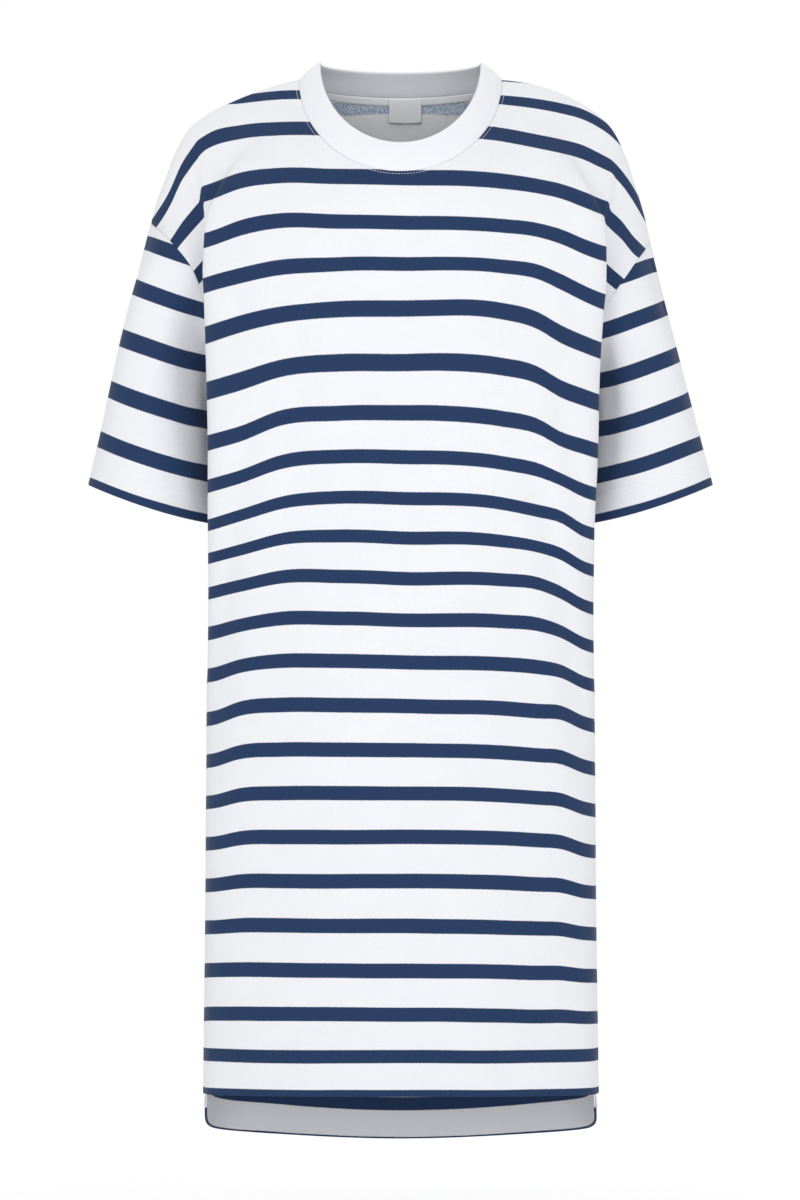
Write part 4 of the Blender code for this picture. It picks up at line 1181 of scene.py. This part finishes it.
# The dense panels that every fine piece is read from
u = columnPlaces()
v = rowPlaces()
armRows = (denseSteps["tip"], denseSteps["tip"] + denseSteps["underarm"] + 1)    # tip to underarm
frontDense, backDense = panelSurface("front", u, v), panelSurface("back", u, v)
frontNormal, backNormal = gridNormals(frontDense, False), -gridNormals(backDense, False)
print("panels worked out")

frontNumbers = frontStripe(frontDense, u)
backNumbers = backStripe(backDense, u, v, {-1: frontNumbers[:, 0], 1: frontNumbers[:, -1]})

# One shared direction at each seam, so that the pieces on its two sides close
seamFront, seamBack, sleeveIn = {}, {}, {}
for side, column in sideColumns:
    rows = slice(*armRows)
    ring = armRing(side, frontDense, backDense, rows)
    tube, _, _ = sleeveSurface(side, ring, np.linspace(0, 1, sleeveGrid["seamRows"]))
    tubeNormal = gridNormals(tube, True)[0] * -side
    both = frontNormal[:, column] + backNormal[:, column]
    seamFront[side], seamBack[side] = unit(both), unit(both)
    tubeFront, tubeBack = ringHalves(tubeNormal)
    seamFront[side][rows] = unit(frontNormal[rows, column] + tubeFront)
    seamBack[side][rows] = unit(backNormal[rows, column] + tubeBack)
    for end, line in ((armRows[0], 0), (armRows[1] - 1, -1)):
        seamFront[side][end] = seamBack[side][end] = unit(both[end] + tubeFront[line])
    sleeveIn[side] = ringOf(seamFront[side][rows], seamBack[side][rows])

bandGrid = bandSurface(u, frontDense[0], backDense[0])
bandFront, bandBack = ringHalves(gridNormals(bandGrid, True)[-1])
frontNeck = unit(frontNormal[0] + bandFront)
backNeck = unit(backNormal[0] + bandBack)
for side, column in sideColumns:
    frontNeck[column] = backNeck[column] = unit(frontNeck[column] + backNeck[column] + seamFront[side][0])
bandIn = ringOf(frontNeck, backNeck)

# Pieces
frontPiece, frontFace, frontUp = makePanel("front", u, frontDense, seamFront, frontNeck, frontNumbers)
backPiece, backFace, backUp = makePanel("back", u, backDense, seamBack, backNeck, backNumbers)
leftSleeve, leftFace, leftUp = makeSleeve(1, frontDense, backDense, sleeveIn[1])
rightSleeve, rightFace, rightUp = makeSleeve(-1, frontDense, backDense, sleeveIn[-1])
neckBand = makeBand(bandGrid, bandIn)
backLabel = makeLabel()

# Sewing
sewing = {
    "neckRow": 2.7, "hemRows": (41, 38.2), "cuffRows": (24.4, 20.5),    # from the seam and from the folds
    "neckPitch": 2.7, "neckStitch": 1.9, "hemPitch": 2.9, "hemStitch": 2.3,
}
neckRow = panelGrid["topRows"].index(sewing["neckRow"])
neckLine = np.concatenate([frontFace[neckRow], backFace[neckRow]])
neckUp = np.concatenate([frontUp[neckRow], backUp[neckRow]])
stitchRow("neckStitching", neckLine, neckUp, sewing["neckPitch"], sewing["neckStitch"], whiteThread, True)
hems = [
    # name, face, its directions, its rows, the rows that are sewn, thread, closed
    ("frontHem", frontFace, frontUp, panelGrid["hemRows"], sewing["hemRows"], navyThread, False),
    ("backHem", backFace, backUp, panelGrid["hemRows"], sewing["hemRows"], navyThread, False),
    ("leftCuff", leftFace, leftUp, sleeveGrid["hemRows"], sewing["cuffRows"], whiteThread, True),
    ("rightCuff", rightFace, rightUp, sleeveGrid["hemRows"], sewing["cuffRows"], whiteThread, True),
]
for word, face, up, rows, sewn, yarn, closed in hems:
    for number, height in enumerate(sewn, 1):
        row = rows.index(height) - len(rows)
        name = f"{word}Stitching{number}"
        stitchRow(name, face[row], up[row], sewing["hemPitch"], sewing["hemStitch"], yarn, closed)

# Stage: its sizes are in metres
stage = {
    "floorHeight": -1.06, "floorRadius": 3.2, "floorRings": 24, "floorSides": 96, "floorSpread": 1.5,
    "eye": (-0.00045, -7.0, -0.485), "viewHeight": 1.086, "film": (24.0, 36.0), "farEnd": 100,
    "backdrop": (1, 1, 1, 1), "backdropStrength": 1.0,
}


def makeFloor():
    # A round pale floor: rings of points whose radius grows with a power of the ring's number.
    rings, sides = stage["floorRings"], stage["floorSides"]
    radius = stage["floorRadius"] * (np.arange(1, rings + 1) / rings) ** stage["floorSpread"]
    turn = 2 * math.pi * np.arange(sides) / sides
    points = np.stack([radius[:, None] * np.cos(turn), radius[:, None] * np.sin(turn),
                       np.full((rings, sides), stage["floorHeight"])], axis=-1).reshape(-1, 3)
    number = np.arange(rings * sides).reshape(rings, sides)
    following = np.roll(number, -1, axis=1)
    faces = np.stack([number[:-1], number[1:], following[1:], following[:-1]], axis=-1).reshape(-1, 4)
    mesh = bpy.data.meshes.new("floor")
    mesh.from_pydata(points.tolist(), [], faces.tolist() + [number[0].tolist()])
    mesh.materials.append(paintedFloor("paleFloor", colours["floor"]))
    newObject("floor", mesh)


def softLight(name, place, target, size, power):
    # A square lamp of the size in metres, turned from its place to the target.
    data = bpy.data.lights.new(name, "AREA")
    data.size, data.energy = size, power
    lamp = newObject(name, data)
    lamp.location = place
    x, y, z = np.array(target) - np.array(place)
    lamp.rotation_euler = (math.atan2(math.hypot(x, y), -z), 0.0, math.atan2(y, x) - math.pi / 2)


makeFloor()
world = bpy.data.worlds.new("studio")
world.use_nodes = True
backdrop = world.node_tree.nodes["Background"]
backdrop.inputs["Color"].default_value = stage["backdrop"]
backdrop.inputs["Strength"].default_value = stage["backdropStrength"]
bpy.context.scene.world = world
lights = [
    # name, place, target, size in metres, watts
    ("keyLight", (-1.4, -3.6, 1.1), (0, 0, -0.2), 1.8, 18),
    ("fillLight", (1.4, -3.6, 0.9), (0, 0, -0.2), 1.8, 15),
    ("lowLeft", (-1.1, -3.1, -0.66), (0, 0, -0.8), 0.7, 8),
    ("lowRight", (1.1, -3.1, -0.66), (0, 0, -0.8), 0.7, 8),
    ("backLight", (0.6, 3.6, 1.4), (0, 0.6, -0.5), 2.2, 24),
]
for light in lights:
    softLight(*light)

bpy.context.scene.view_settings.view_transform = "Standard"
camera = bpy.data.cameras.new("camera")
camera.sensor_fit = "VERTICAL"
camera.sensor_width, camera.sensor_height = stage["film"]
camera.lens = stage["film"][1] * (-stage["eye"][1] / stage["viewHeight"])
camera.clip_end = stage["farEnd"]
viewer = newObject("camera", camera)
viewer.location, viewer.rotation_euler = stage["eye"], (math.pi / 2, 0, 0)
bpy.context.scene.camera = viewer
print("stage set")
